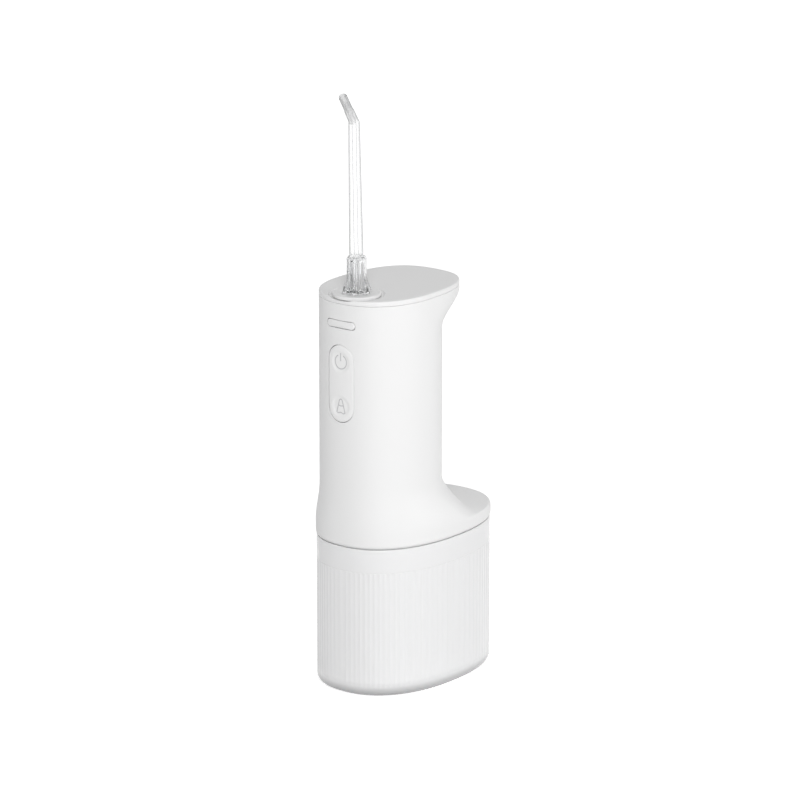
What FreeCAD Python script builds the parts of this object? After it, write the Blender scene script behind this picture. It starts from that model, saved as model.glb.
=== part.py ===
"""Cordless water flosser: a handle with pump, motor and cell that seats on a clear water tank.

Frame: millimetres, +Z up. The origin is the centre of the tank's flat underside, the
buttons face -Y, and X is the width. Each function below builds one piece, and the last
lines write one STEP file per piece.
"""
import FreeCAD
import Part

import math
import os

V = FreeCAD.Vector
X, Y, Z = V(1, 0, 0), V(0, 1, 0), V(0, 0, 1)

# ---------------------------------------------------------------- driving dimensions
TANK_LENGTH = 88.8        # front to back
TANK_WIDTH = 61.0
TANK_HEIGHT = 67.2
TANK_ROUNDNESS = 2.3      # superellipse exponent of the footprint
TANK_WALL = 2.0
TANK_FLOOR = 4.0
TANK_FOOT_RADIUS = 3.5

BODY_TOP = 178.0          # top face of the lid
HANDLE_CENTRE = -14.1     # widest line of the handle, ahead of the tank's centre
HANDLE_FRONT = 30.0       # from that line to the front face
HANDLE_REAR = 24.0        # from that line to the back face
HANDLE_HALF_WIDTH = 25.1
HANDLE_ROUNDNESS = 2.2
WALL = 2.2                # housing wall

SKIRT_PROUD = 0.35        # the housing's skirt stands this far outside the tank
SKIRT_WALL = 1.2
SKIRT_LIFT = 0.3          # gap between the skirt's lower edge and the tank's rim
SKIRT_EDGE = 1.5          # rounding of the skirt's lower edge
SHELF_Z = 73.6            # rear shelf, at its outer edge
SHELF_EDGE = 2.4          # rounding of the shelf's outer edge
SHELF_RISE = 1.6          # the shelf climbs this much towards the handle
FLARE_TOP = 92.0          # where the flare meets the handle's straight walls
FLARE_SHARPNESS = 6

LIP_START = 160.0         # underside of the rear lip leaves the handle here
LIP_FULL = 174.0          # and reaches its full reach here
LIP_REAR = 37.5           # from the handle's widest line to the lip's rear edge
LIP_ROUNDNESS = 2.6
LID_RIM = 2.3             # visible height of the lid's edge
LID_SEAM = 0.15
LID_DEPTH = 5.0           # the lid's plug reaches this far below its top

FIT = 0.05                # radial clearance of a shaft in its bore
GAP = 0.3                 # clearance between pieces that only pass each other

NOZZLE_Y = -32.6          # nozzle and socket axis
NOZZLE_BORE = 1.0
STEM_RADIUS = 2.8
NECK_RADIUS = 3.3
SHAFT_RADIUS = 3.25       # at the top of the fluted collar
SHAFT_TOP_RADIUS = 2.45
ELBOW_RADIUS = 2.3
ELBOW_BEND = 3.0
SHAFT_LEAN = 1.5          # forward shift of the elbow
ELBOW_Z = 253.7
TIP_RADIUS = 1.87
TIP_LENGTH = 19.0
TIP_SLOPE = 45.8          # degrees above the horizontal
TIP_SIDE = 18.0           # degrees from the front towards +X
COLLAR_TOP = 194.6
COLLAR_RADIUS = 4.4
COLLAR_FOOT_RADIUS = 6.5
FLUTES = 6
FLUTE_WIDTH = 1.8

DISC_RADIUS = 10.55
DISC_THICKNESS = 1.5
DISH_RADIUS = 12.25
DISH_DEPTH = 1.0

PAD_WIDTH = 13.8
PAD_HEIGHT = 34.5
PAD_Z = 140.3
PAD_THICKNESS = 1.2
PAD_GAP = 0.15            # groove around the pad
PAD_TRAVEL = 0.45         # at the pad's ends, when it rocks
PAD_BACKING = 3.6         # wall thickness behind the pad, from the handle's face
STEM_PIN_RADIUS = 1.6
BUTTON_PITCH = 19.7       # from the mode dimple up to the power dimple
DIMPLE_RADIUS = 5.0
DIMPLE_DEPTH = 0.45

RELEASE_WIDTH = 15.5
RELEASE_HEIGHT = 3.7
RELEASE_Z = 166.7
RELEASE_GAP = 0.2
RELEASE_TRAVEL = 1.5
RELEASE_PROUD = 0.4

PORT_Z = 48.0             # fill port on the tank's back
PORT_WIDTH = 16.0
PORT_HEIGHT = 11.0
CAP_WIDTH = 24.0
CAP_HEIGHT = 20.0
CAP_CORNER = 4.0
PORT_CORNER = 3.0
KNUCKLE_REACH = 4.0       # half the flap's knuckle, along the pin
EAR_REACH = 6.6           # half the distance across the two ears
CAP_THICKNESS = 1.6
CAP_PIN_RADIUS = 0.6
CAP_KNUCKLE_RADIUS = 1.15

GEAR_MODULE = 0.5
PINION_TEETH = 18
CRANK_TEETH = 42
GEAR_BACKLASH = 0.12
PRESSURE_ANGLE = math.radians(20)
GEAR_LINE = 25.7          # degrees the gear pair's centre line is turned from -X
STROKE = 5.0
ROD_LENGTH = 11.0
ROD_THICKNESS = 3.0

MOTOR_X, MOTOR_Y = 9.5, -20.0
MOTOR_RADIUS = 12.0
MOTOR_LENGTH = 31.0
MOTOR_SHAFT_RADIUS = 1.0
DECK_Z = 95.0             # underside of the inner frame's deck
DECK_THICKNESS = 2.5

CELL_X, CELL_Y = -10.0, -7.0
CELL_RADIUS = 9.2
CELL_LENGTH = 65.0

PUMP_Z = 81.0             # piston axis
PISTON_RADIUS = 4.0
PUMP_WALL = 2.5
HEAD_DEPTH = 4.6
VALVE_BALL_RADIUS = 1.1

TUBE_Y = 3.0              # suction tube in the tank
TUBE_RADIUS = 2.2
OUTLET_RADIUS = 2.1
HOSE_BORE = 1.4
INTAKE_RADIUS = 1.9

CHARGE_Z = 118.0          # charging contacts on the handle's back
CHARGE_RADIUS = 7.0

SCREW_RADIUS = 1.25
SCREW_HEAD_RADIUS = 2.3

# ---------------------------------------------------------------- derived places
TANK_HALF = TANK_LENGTH / 2
FRONT_Y = HANDLE_CENTRE - HANDLE_FRONT
BACK_Y = HANDLE_CENTRE + HANDLE_REAR
SKIRT_Z = TANK_HEIGHT + SKIRT_LIFT
SKIRT_HALF = TANK_HALF + SKIRT_PROUD
SKIRT_HALF_WIDTH = TANK_WIDTH / 2 + SKIRT_PROUD
RIM_Z = BODY_TOP - LID_RIM
DISH_Z = BODY_TOP - DISH_DEPTH
DISC_Z = DISH_Z + GAP
DISC_TOP = DISC_Z + DISC_THICKNESS
DECK_TOP = DECK_Z + DECK_THICKNESS
PLUG_TOP = TANK_HEIGHT + 3.0
PLUG_BOTTOM = TANK_HEIGHT - 5.7
MESH_DISTANCE = GEAR_MODULE * (PINION_TEETH + CRANK_TEETH) / 2
CRANK_X = MOTOR_X - MESH_DISTANCE * math.cos(math.radians(GEAR_LINE))
CRANK_Y = MOTOR_Y + MESH_DISTANCE * math.sin(math.radians(GEAR_LINE))
CRANK_Z = PUMP_Z + 8.5    # underside of the crank gear
CRANK_THICKNESS = 3.5
CRANK_PIN_Y = CRANK_Y - STROKE / 2
WRIST_Y = CRANK_PIN_Y - ROD_LENGTH
PISTON_CROWN = WRIST_Y - 5.0
HEAD_Y = PISTON_CROWN - 2.5
POST_PLACES = [(-19.0, -20.0), (-15.5, -1.5), (15.5, -1.5), (19.0, -20.0)]
POST_RADIUS = 2.6
BOARD_FRONT = FRONT_Y + 6.1
BOARD_THICKNESS = 1.4
SWITCH_HEIGHT = 2.0
LATCH_Z = RELEASE_Z - 0.8
LATCH_THICKNESS = 1.6
LATCH_REAR = NOZZLE_Y + 8.6
SPRING_SEAT_Y = LATCH_REAR + 9.8
SOCKET_RADIUS = 5.0
SOCKET_BOTTOM = 155.0
SOCKET_TOP = BODY_TOP - 3.0
SLEEVE_BOTTOM = BODY_TOP - 7.2
SLEEVE_RADIUS = 4.6
FLANGE_RADIUS = 8.6
HINGE_Z = PORT_Z - CAP_HEIGHT / 2 + 1.2


# ---------------------------------------------------------------- helpers
def superellipse(centre, front, rear, half, front_power, rear_power, z):
    """Closed curve, round at the corners, with its own reach to the front and to the rear."""
    points = []
    count = 48
    for i in range(count):
        angle = 2 * math.pi * i / count
        c, s = math.cos(angle), math.sin(angle)
        power = rear_power if s > 0 else front_power
        reach = rear if s > 0 else front
        x = half * math.copysign(abs(c) ** (2 / power), c)
        y = centre + reach * math.copysign(abs(s) ** (2 / power), s)
        points.append(V(x, y, z))
    curve = Part.BSplineCurve()
    curve.interpolate(Points=points, PeriodicFlag=True)
    return Part.Wire(curve.toShape())


def prism(wire, height):
    return Part.Face(wire).extrude(V(0, 0, height))


def cylinder(x, y, z0, z1, radius):
    return Part.makeCylinder(radius, z1 - z0, V(x, y, z0), Z)


def cylinder_y(x, z, y0, y1, radius):
    return Part.makeCylinder(radius, y1 - y0, V(x, y0, z), Y)


def cylinder_x(y, z, x0, x1, radius):
    return Part.makeCylinder(radius, x1 - x0, V(x0, y, z), X)


def block(x0, x1, y0, y1, z0, z1):
    return Part.makeBox(x1 - x0, y1 - y0, z1 - z0, V(x0, y0, z0))


def rounded_slab(width, height, radius, z, y0, y1):
    """Rounded rectangle in XZ about x = 0, extruded along Y."""
    slab = block(-width / 2, width / 2, y0, y1, z - height / 2, z + height / 2)
    upright = [e for e in slab.Edges if abs(e.tangentAt(e.FirstParameter).y) > 0.9]
    return slab.makeFillet(radius * 0.999, upright)


def pipe(points, radius, bend):
    """Round bar through the points, with straight runs joined by tangent arcs."""
    edges = []
    start = V(*points[0])
    for i in range(1, len(points) - 1):
        corner = V(*points[i])
        before = (V(*points[i - 1]) - corner).normalize()
        after = (V(*points[i + 1]) - corner).normalize()
        half_angle = before.getAngle(after) / 2
        trim = bend / math.tan(half_angle)
        a, b = corner + before * trim, corner + after * trim
        middle = (before + after).normalize()
        centre = corner + middle * (bend / math.sin(half_angle))
        edges.append(Part.makeLine(start, a))
        edges.append(Part.Arc(a, centre - middle * bend, b).toShape())
        start = b
    edges.append(Part.makeLine(start, V(*points[-1])))
    direction = V(*points[1]) - V(*points[0])
    ring = Part.Wire(Part.makeCircle(radius, V(*points[0]), direction))
    return Part.Wire(edges).makePipeShell([ring], True, False)


def tube(points, outer, inner, bend):
    return pipe(points, outer, bend).cut(pipe(points, inner, bend))


def fuse(shapes):
    return shapes[0].multiFuse(shapes[1:]).removeSplitter()


# ---------------------------------------------------------------- outlines
def tank_body(inset, z0, z1):
    """Solid that follows the tank's footprint, drawn in by inset."""
    half = TANK_HALF - inset
    wire = superellipse(0, half, half, TANK_WIDTH / 2 - inset, TANK_ROUNDNESS, TANK_ROUNDNESS, z0)
    return prism(wire, z1 - z0)


def handle_body(inset, z0, z1):
    """Solid that follows the handle's straight walls, drawn in by inset."""
    wire = superellipse(HANDLE_CENTRE, HANDLE_FRONT - inset, HANDLE_REAR - inset,
                        HANDLE_HALF_WIDTH - inset, HANDLE_ROUNDNESS, HANDLE_ROUNDNESS, z0)
    return prism(wire, z1 - z0)


def flare_section(share, inset, drop):
    """Housing section in the flare; share is 0 at the handle and 1 at the shelf's edge."""
    height = FLARE_TOP - SHELF_Z
    left = 1 - share
    z = SHELF_Z + SHELF_RISE * left + (height - SHELF_RISE) * left ** FLARE_SHARPNESS
    fall = (FLARE_TOP - z) / height
    side = 3 * fall ** 2 - 2 * fall ** 3
    rear = BACK_Y + (SKIRT_HALF - SHELF_EDGE - BACK_Y) * share
    front = FRONT_Y + (-SKIRT_HALF - FRONT_Y) * side
    half = HANDLE_HALF_WIDTH + (SKIRT_HALF_WIDTH - HANDLE_HALF_WIDTH) * side
    centre = HANDLE_CENTRE * (1 - side)
    power = HANDLE_ROUNDNESS + (TANK_ROUNDNESS - HANDLE_ROUNDNESS) * side
    return superellipse(centre, centre - front - inset, rear - centre - inset, half - inset,
                        power, power, z - drop)


def flare(inset, drop):
    shares = [0, 0.05, 0.1, 0.16, 0.24, 0.34, 0.5, 0.7, 0.85, 1]
    return Part.makeLoft([flare_section(s, inset, drop) for s in shares], True, False)


def lip(inset, lift, top):
    """Rear lip: the handle's outline, with its rear reach eased out to the lip's."""
    sections = []
    steps = 8
    for i in range(steps + 1):
        t = i / steps
        ease = 3 * t ** 2 - 2 * t ** 3
        z = LIP_START + (LIP_FULL - LIP_START) * t + lift
        rear = HANDLE_REAR + (LIP_REAR - HANDLE_REAR) * ease
        power = HANDLE_ROUNDNESS + (LIP_ROUNDNESS - HANDLE_ROUNDNESS) * ease
        sections.append(superellipse(HANDLE_CENTRE, HANDLE_FRONT - inset, rear - inset,
                                     HANDLE_HALF_WIDTH - inset, HANDLE_ROUNDNESS, power, z))
    curved = Part.makeLoft(sections, True, False)
    return [curved, lid_body(inset, LIP_FULL + lift, top)]


def lid_body(inset, z0, z1):
    """Solid that follows the lid's outline, drawn in by inset."""
    wire = superellipse(HANDLE_CENTRE, HANDLE_FRONT - inset, LIP_REAR - inset,
                        HANDLE_HALF_WIDTH - inset, HANDLE_ROUNDNESS, LIP_ROUNDNESS, z0)
    return prism(wire, z1 - z0)


def skirt():
    """Skirt over the tank's rim, rounded in below and rounded over at the shelf's edge."""
    sections = []
    for angle in (0, 30, 60, 90):
        draw_in = SKIRT_EDGE * (1 - math.sin(math.radians(angle)))
        z = SKIRT_Z + SKIRT_EDGE * (1 - math.cos(math.radians(angle)))
        half, half_width = SKIRT_HALF - draw_in, SKIRT_HALF_WIDTH - draw_in
        sections.append(superellipse(0, half, half, half_width, TANK_ROUNDNESS, TANK_ROUNDNESS, z))
    lower = Part.makeLoft(sections, True, False)
    straight_top = SHELF_Z - SHELF_EDGE
    wall = tank_body(-SKIRT_PROUD, SKIRT_Z + SKIRT_EDGE, straight_top)
    sections = []
    for angle in (0, 22, 45, 68, 90):
        draw_in = SHELF_EDGE * (1 - math.cos(math.radians(angle)))
        z = straight_top + SHELF_EDGE * math.sin(math.radians(angle))
        sections.append(superellipse(0, SKIRT_HALF, SKIRT_HALF - draw_in, SKIRT_HALF_WIDTH,
                                     TANK_ROUNDNESS, TANK_ROUNDNESS, z))
    upper = Part.makeLoft(sections, True, False)
    return [lower, wall, upper]


# ---------------------------------------------------------------- tank and fill cap
def port_window(width, height, radius):
    return rounded_slab(width, height, radius, PORT_Z, TANK_HALF - 12, TANK_HALF + 2)


def cap_axis_y():
    """Hinge axis: as far out as the knuckle allows under the tank's curved back."""
    reach = (6.0 / (TANK_WIDTH / 2)) ** TANK_ROUNDNESS
    return TANK_HALF * (1 - reach) ** (1 / TANK_ROUNDNESS) - CAP_KNUCKLE_RADIUS


def hinge_ears():
    y = cap_axis_y()
    low, high = HINGE_Z - CAP_KNUCKLE_RADIUS, HINGE_Z + CAP_KNUCKLE_RADIUS
    ears = []
    for side in (-1, 1):
        x0, x1 = sorted((side * (KNUCKLE_REACH + 0.2), side * EAR_REACH))
        ears.append(cylinder_x(y, HINGE_Z, x0, x1, CAP_KNUCKLE_RADIUS))
        ears.append(block(x0, x1, y - 3.2, y, low, high))
    return ears


def tank():
    """Clear tank with a thick floor, and a pocket and port for the fill cap in its back."""
    outer = tank_body(0, 0, TANK_HEIGHT)
    foot = [e for e in outer.Edges if e.BoundBox.ZMax < 0.01]
    outer = outer.makeFillet(TANK_FOOT_RADIUS, foot)
    shell = outer.cut(tank_body(TANK_WALL, TANK_FLOOR, TANK_HEIGHT + 1))
    pocket_depth = CAP_THICKNESS + GAP
    frame = port_window(CAP_WIDTH + 6, CAP_HEIGHT + 6, 5.0)
    frame = frame.common(tank_body(TANK_WALL / 2, TANK_FLOOR, TANK_HEIGHT))
    frame = frame.cut(tank_body(pocket_depth + 2.1, TANK_FLOOR, TANK_HEIGHT))
    shell = shell.fuse(frame)
    pocket = port_window(CAP_WIDTH + 2 * GAP, CAP_HEIGHT + 2 * GAP, CAP_CORNER + GAP)
    pocket = pocket.cut(tank_body(pocket_depth, TANK_FLOOR, TANK_HEIGHT))
    port = port_window(PORT_WIDTH, PORT_HEIGHT, PORT_CORNER)
    nail_notch = cylinder_y(0, PORT_Z + CAP_HEIGHT / 2 + 1.5, TANK_HALF - 1.2, TANK_HALF + 2, 4.0)
    shell = shell.cut(pocket).cut(port).cut(nail_notch)
    y = cap_axis_y()
    shell = shell.cut(cylinder_x(y, HINGE_Z, -EAR_REACH, EAR_REACH, CAP_KNUCKLE_RADIUS + 0.6))
    shell = fuse([shell] + hinge_ears())
    pin_hole = cylinder_x(y, HINGE_Z, -EAR_REACH - 1, EAR_REACH + 1, CAP_PIN_RADIUS)
    return shell.cut(pin_hole)


def fill_cap():
    """Flap that lies flush in the tank's back, with a knuckle on its lower edge."""
    panel = port_window(CAP_WIDTH, CAP_HEIGHT, CAP_CORNER).common(tank_body(0, TANK_FLOOR, TANK_HEIGHT))
    panel = panel.cut(tank_body(CAP_THICKNESS, TANK_FLOOR, TANK_HEIGHT))
    lower_edge = block(-20, 20, 0, TANK_HALF + 2, HINGE_Z - 5, HINGE_Z + CAP_KNUCKLE_RADIUS + 1.2)
    panel = panel.cut(lower_edge)
    y = cap_axis_y()
    knuckle = cylinder_x(y, HINGE_Z, -KNUCKLE_REACH, KNUCKLE_REACH, CAP_KNUCKLE_RADIUS)
    web = block(-KNUCKLE_REACH, KNUCKLE_REACH, TANK_HALF - CAP_THICKNESS,
                y + CAP_KNUCKLE_RADIUS - 0.05, HINGE_Z, HINGE_Z + 3.4)
    hole = cylinder_x(y, HINGE_Z, -KNUCKLE_REACH - 1, KNUCKLE_REACH + 1, CAP_PIN_RADIUS + FIT)
    return fuse([panel, knuckle, web]).cut(hole)


def fill_cap_seal():
    """Soft ring on the flap's inside that plugs the port."""
    outer = port_window(PORT_WIDTH - 2 * GAP, PORT_HEIGHT - 2 * GAP, PORT_CORNER - GAP)
    inner = port_window(PORT_WIDTH - 2 * GAP - 2.8, PORT_HEIGHT - 2 * GAP - 2.8, 1.4)
    ring = outer.cut(inner).common(tank_body(CAP_THICKNESS + FIT, TANK_FLOOR, TANK_HEIGHT))
    return ring.cut(tank_body(CAP_THICKNESS + 2.2, TANK_FLOOR, TANK_HEIGHT))


def cap_hinge_pin():
    return cylinder_x(cap_axis_y(), HINGE_Z, -EAR_REACH, EAR_REACH, CAP_PIN_RADIUS)


# ---------------------------------------------------------------- shells of the handle
def pill(width, height, z, grow, depth_out, depth_in):
    """Pill-shaped piece of the handle's front wall, from depth_out outside to depth_in inside."""
    slab = rounded_slab(width + 2 * grow, height + 2 * grow, min(width, height) / 2 + grow, z,
                        FRONT_Y - 5, FRONT_Y + 12)
    z0, z1 = z - height, z + height
    return slab.common(handle_body(-depth_out, z0, z1)).cut(handle_body(depth_in, z0, z1))


def button_heights():
    return [PAD_Z - BUTTON_PITCH / 2 - 0.15, PAD_Z + BUTTON_PITCH / 2 - 0.15]


def housing():
    """Main shell: skirt, flare, straight handle and rear lip, open at the bottom and the top."""
    outer = fuse(skirt() + [flare(0, 0), handle_body(0, FLARE_TOP, LIP_START)] + lip(0, 0, RIM_Z))
    lower_room = tank_body(SKIRT_WALL - SKIRT_PROUD, SKIRT_Z - 1, SHELF_Z - WALL)
    neck_room = handle_body(WALL, FLARE_TOP - WALL, LIP_START + WALL)
    rooms = [lower_room, flare(WALL, WALL), neck_room] + lip(WALL, WALL, RIM_Z + 1)
    shell = outer
    for room in rooms:
        shell = shell.cut(room)
    shell = shell.fuse(pill(PAD_WIDTH, PAD_HEIGHT, PAD_Z, 1.5, -WALL / 2, PAD_BACKING))
    recess = PAD_THICKNESS + PAD_TRAVEL + 0.15
    shell = shell.cut(pill(PAD_WIDTH, PAD_HEIGHT, PAD_Z, PAD_GAP, 1, recess))
    for z in button_heights():
        shell = shell.cut(cylinder_y(0, z, FRONT_Y - 1, FRONT_Y + 6, STEM_PIN_RADIUS + GAP))
    pivot_rib = cylinder_x(FRONT_Y + recess, PAD_Z, -PAD_WIDTH / 4, PAD_WIDTH / 4, PAD_TRAVEL)
    shell = shell.fuse(pivot_rib)
    release = rounded_slab(RELEASE_WIDTH, RELEASE_HEIGHT, RELEASE_HEIGHT / 2, RELEASE_Z,
                           FRONT_Y - 1, FRONT_Y + 6)
    charge = cylinder_y(0, CHARGE_Z, BACK_Y - 4, BACK_Y + 1, CHARGE_RADIUS + FIT)
    return shell.cut(release).cut(charge)


def top_lid():
    """Lid with a shallow dish around the nozzle and a tab below that seats the latch spring."""
    plate = lid_body(0, RIM_Z + LID_SEAM, BODY_TOP)
    plug = handle_body(WALL + GAP, BODY_TOP - LID_DEPTH, RIM_Z + LID_SEAM)
    plug = plug.cut(handle_body(WALL + GAP + 1.6, BODY_TOP - LID_DEPTH - 1, SOCKET_TOP))
    plug = plug.cut(cylinder(0, NOZZLE_Y, BODY_TOP - LID_DEPTH - 1, SOCKET_TOP, FLANGE_RADIUS + GAP))
    seat = block(-4, 4, SPRING_SEAT_Y, SPRING_SEAT_Y + 1.6, RELEASE_Z - 2.7, BODY_TOP - 2.5)
    dish = cylinder(0, NOZZLE_Y, DISH_Z, BODY_TOP + 1, DISH_RADIUS)
    hole = cylinder(0, NOZZLE_Y, BODY_TOP - 10, BODY_TOP + 1, SOCKET_RADIUS)
    return fuse([plate, plug, seat]).cut(dish).cut(hole)


def base_plug():
    """Floor of the handle: a flange on the tank's rim and a ring down inside its mouth."""
    flange_inset = SKIRT_WALL - SKIRT_PROUD + 0.15
    flange = tank_body(flange_inset, TANK_HEIGHT, PLUG_TOP)
    ring = tank_body(TANK_WALL + GAP, PLUG_BOTTOM, TANK_HEIGHT)
    ring = ring.cut(tank_body(TANK_WALL + GAP + 2.6, PLUG_BOTTOM - 1, TANK_HEIGHT))
    groove = tank_body(TANK_WALL, PLUG_BOTTOM + 1.8, PLUG_BOTTOM + 3.8)
    groove = groove.cut(tank_body(TANK_WALL + GAP + 1.3, PLUG_BOTTOM, TANK_HEIGHT))
    body = flange.fuse(ring.cut(groove))
    for x, y in POST_PLACES:
        body = body.fuse(cylinder(x, y, TANK_HEIGHT - 3, TANK_HEIGHT, SCREW_HEAD_RADIUS + 1.2))
    nipple = cylinder(0, TUBE_Y, TANK_HEIGHT - 6, TANK_HEIGHT, TUBE_RADIUS - 0.8)
    upper_nipple = cylinder(0, TUBE_Y, PLUG_TOP, PLUG_TOP + 1.2, HOSE_BORE - FIT)
    body = fuse([body, nipple, upper_nipple])
    body = body.cut(cylinder(0, TUBE_Y, TANK_HEIGHT - 7, PLUG_TOP + 2, 0.8))
    for x, y in POST_PLACES:
        body = body.cut(cylinder(x, y, TANK_HEIGHT - 4, PLUG_TOP + 1, SCREW_RADIUS))
        body = body.cut(cylinder(x, y, TANK_HEIGHT - 4, TANK_HEIGHT - 1.4, SCREW_HEAD_RADIUS))
    return body


def tank_gasket():
    outer = tank_body(TANK_WALL + 0.08, PLUG_BOTTOM + 1.8, PLUG_BOTTOM + 3.8)
    return outer.cut(tank_body(TANK_WALL + GAP + 1.3, PLUG_BOTTOM, TANK_HEIGHT))


# ---------------------------------------------------------------- buttons
def button_pad():
    """Rocking pad with two finger dimples and a stem behind each."""
    pad = pill(PAD_WIDTH, PAD_HEIGHT, PAD_Z, 0, 0, PAD_THICKNESS)
    stem_end = BOARD_FRONT - SWITCH_HEIGHT - PAD_TRAVEL - 0.15
    ball = (DIMPLE_RADIUS ** 2 + DIMPLE_DEPTH ** 2) / (2 * DIMPLE_DEPTH)
    for z in button_heights():
        stem = cylinder_y(0, z, FRONT_Y + PAD_THICKNESS / 2, stem_end, STEM_PIN_RADIUS)
        dimple = Part.makeSphere(ball, V(0, FRONT_Y + DIMPLE_DEPTH - ball, z))
        pad = pad.fuse(stem).cut(dimple)
    return pad


def release_button():
    """Wide button above the pad that pushes the latch plate."""
    button = pill(RELEASE_WIDTH, RELEASE_HEIGHT, RELEASE_Z, -RELEASE_GAP, RELEASE_PROUD, WALL + 1)
    return button.cut(block(-20, 20, FRONT_Y + 2.7, 0, RELEASE_Z - 5, RELEASE_Z + 5))


def latch_plate():
    """Plate around the socket whose rear tongue reaches through it to the nozzle's stem."""
    z0, z1 = LATCH_Z, LATCH_Z + LATCH_THICKNESS
    plate = block(-8.5, 8.5, FRONT_Y + 5.1, LATCH_REAR, z0, z1)
    tab = block(-6, 6, FRONT_Y + 2.7, FRONT_Y + 5.1, z0, z1)
    room = SOCKET_RADIUS + GAP
    slot = block(-room, room, NOZZLE_Y - RELEASE_TRAVEL, NOZZLE_Y, z0, z1)
    slot = fuse([slot, cylinder(0, NOZZLE_Y, z0, z1, room),
                 cylinder(0, NOZZLE_Y - RELEASE_TRAVEL, z0, z1, room)])
    tongue = block(-1.5, 1.5, NOZZLE_Y + STEM_RADIUS + GAP, LATCH_REAR - 2, z0, z1)
    return fuse([fuse([plate, tab]).cut(slot), tongue])


def release_spring():
    """Compression spring that pushes the latch plate forward."""
    wire_radius = 0.3
    coil = Part.makeHelix(1.6, SPRING_SEAT_Y - LATCH_REAR - 2 * wire_radius - 0.1, 1.9)
    profile = Part.Wire(Part.makeCircle(wire_radius, V(1.9, 0, 0), Y))
    spring = Part.Wire(coil.Edges).makePipeShell([profile], True, True)
    spring.rotate(V(0, 0, 0), X, -90)
    spring.translate(V(0, LATCH_REAR + wire_radius + 0.05, RELEASE_Z))
    return spring


# ---------------------------------------------------------------- nozzle
def nozzle_socket():
    """Receiver under the lid: nozzle bore, seat for the turning disc, hose nipple below."""
    body = cylinder(0, NOZZLE_Y, SOCKET_BOTTOM, SOCKET_TOP, SOCKET_RADIUS)
    head = cylinder(0, NOZZLE_Y, SLEEVE_BOTTOM - 1, SOCKET_TOP, SLEEVE_RADIUS + 1.8)
    flange = cylinder(0, NOZZLE_Y, SOCKET_TOP - 1.4, SOCKET_TOP, FLANGE_RADIUS)
    nipple = cylinder(0, NOZZLE_Y, SOCKET_BOTTOM - 6, SOCKET_BOTTOM, HOSE_BORE - FIT)
    body = fuse([body, head, flange, nipple])
    body = body.cut(cylinder(0, NOZZLE_Y, SOCKET_BOTTOM + 1.8, BODY_TOP, STEM_RADIUS + 2 * FIT))
    body = body.cut(cylinder(0, NOZZLE_Y, SLEEVE_BOTTOM - 0.2, BODY_TOP, SLEEVE_RADIUS + FIT))
    body = body.cut(cylinder(0, NOZZLE_Y, SOCKET_BOTTOM - 7, SOCKET_BOTTOM + 3, 0.8))
    groove = cylinder(0, NOZZLE_Y, SOCKET_BOTTOM + 4, SOCKET_BOTTOM + 5.6, STEM_RADIUS + 1.2)
    window = block(-2.2, 2.2, NOZZLE_Y, NOZZLE_Y + 8, LATCH_Z - 0.4, LATCH_Z + LATCH_THICKNESS + 0.4)
    return body.cut(groove).cut(window)


def socket_seal():
    ring = cylinder(0, NOZZLE_Y, SOCKET_BOTTOM + 4, SOCKET_BOTTOM + 5.6, STEM_RADIUS + 1.2)
    return ring.cut(cylinder(0, NOZZLE_Y, SOCKET_BOTTOM, SOCKET_BOTTOM + 9, STEM_RADIUS + FIT))


def rotation_disc():
    """Disc under the nozzle that turns it, with a sleeve down into the socket."""
    disc = cylinder(0, NOZZLE_Y, DISC_Z, DISC_TOP, DISC_RADIUS)
    rim = [e for e in disc.Edges if e.BoundBox.ZMin > DISC_TOP - 0.01]
    disc = disc.makeFillet(0.5, rim)
    sleeve = cylinder(0, NOZZLE_Y, SLEEVE_BOTTOM, DISC_Z, SLEEVE_RADIUS)
    bore = cylinder(0, NOZZLE_Y, SLEEVE_BOTTOM - 1, DISC_TOP + 1, NECK_RADIUS + FIT)
    return fuse([disc, sleeve]).cut(bore)


def shaft_frame():
    """Foot, elbow and tip end of the nozzle's bent shaft."""
    foot = V(0, NOZZLE_Y, DISC_TOP + 5)
    elbow = V(0, NOZZLE_Y - SHAFT_LEAN, ELBOW_Z)
    slope, side = math.radians(TIP_SLOPE), math.radians(TIP_SIDE)
    direction = V(math.cos(slope) * math.sin(side), -math.cos(slope) * math.cos(side),
                  math.sin(slope))
    return foot, elbow, direction


def flute(angle):
    """One rib of the fluted collar, with a foot that splays out over the disc."""
    z0 = DISC_TOP
    points = [V(2.0, 0, z0 + 0.1), V(COLLAR_FOOT_RADIUS, 0, z0 + 0.1),
              V(COLLAR_FOOT_RADIUS - 0.5, 0, z0 + 2.0), V(COLLAR_RADIUS + 0.5, 0, z0 + 4.6),
              V(COLLAR_RADIUS, 0, z0 + 8.0), V(COLLAR_RADIUS, 0, COLLAR_TOP - 0.6),
              V(COLLAR_RADIUS - 0.6, 0, COLLAR_TOP), V(2.0, 0, COLLAR_TOP), V(2.0, 0, z0 + 0.1)]
    rib = Part.Face(Part.makePolygon(points)).extrude(V(0, FLUTE_WIDTH, 0))
    rib.translate(V(0, -FLUTE_WIDTH / 2, 0))
    rib.rotate(V(0, 0, 0), Z, angle)
    rib.translate(V(0, NOZZLE_Y, 0))
    return rib


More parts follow.
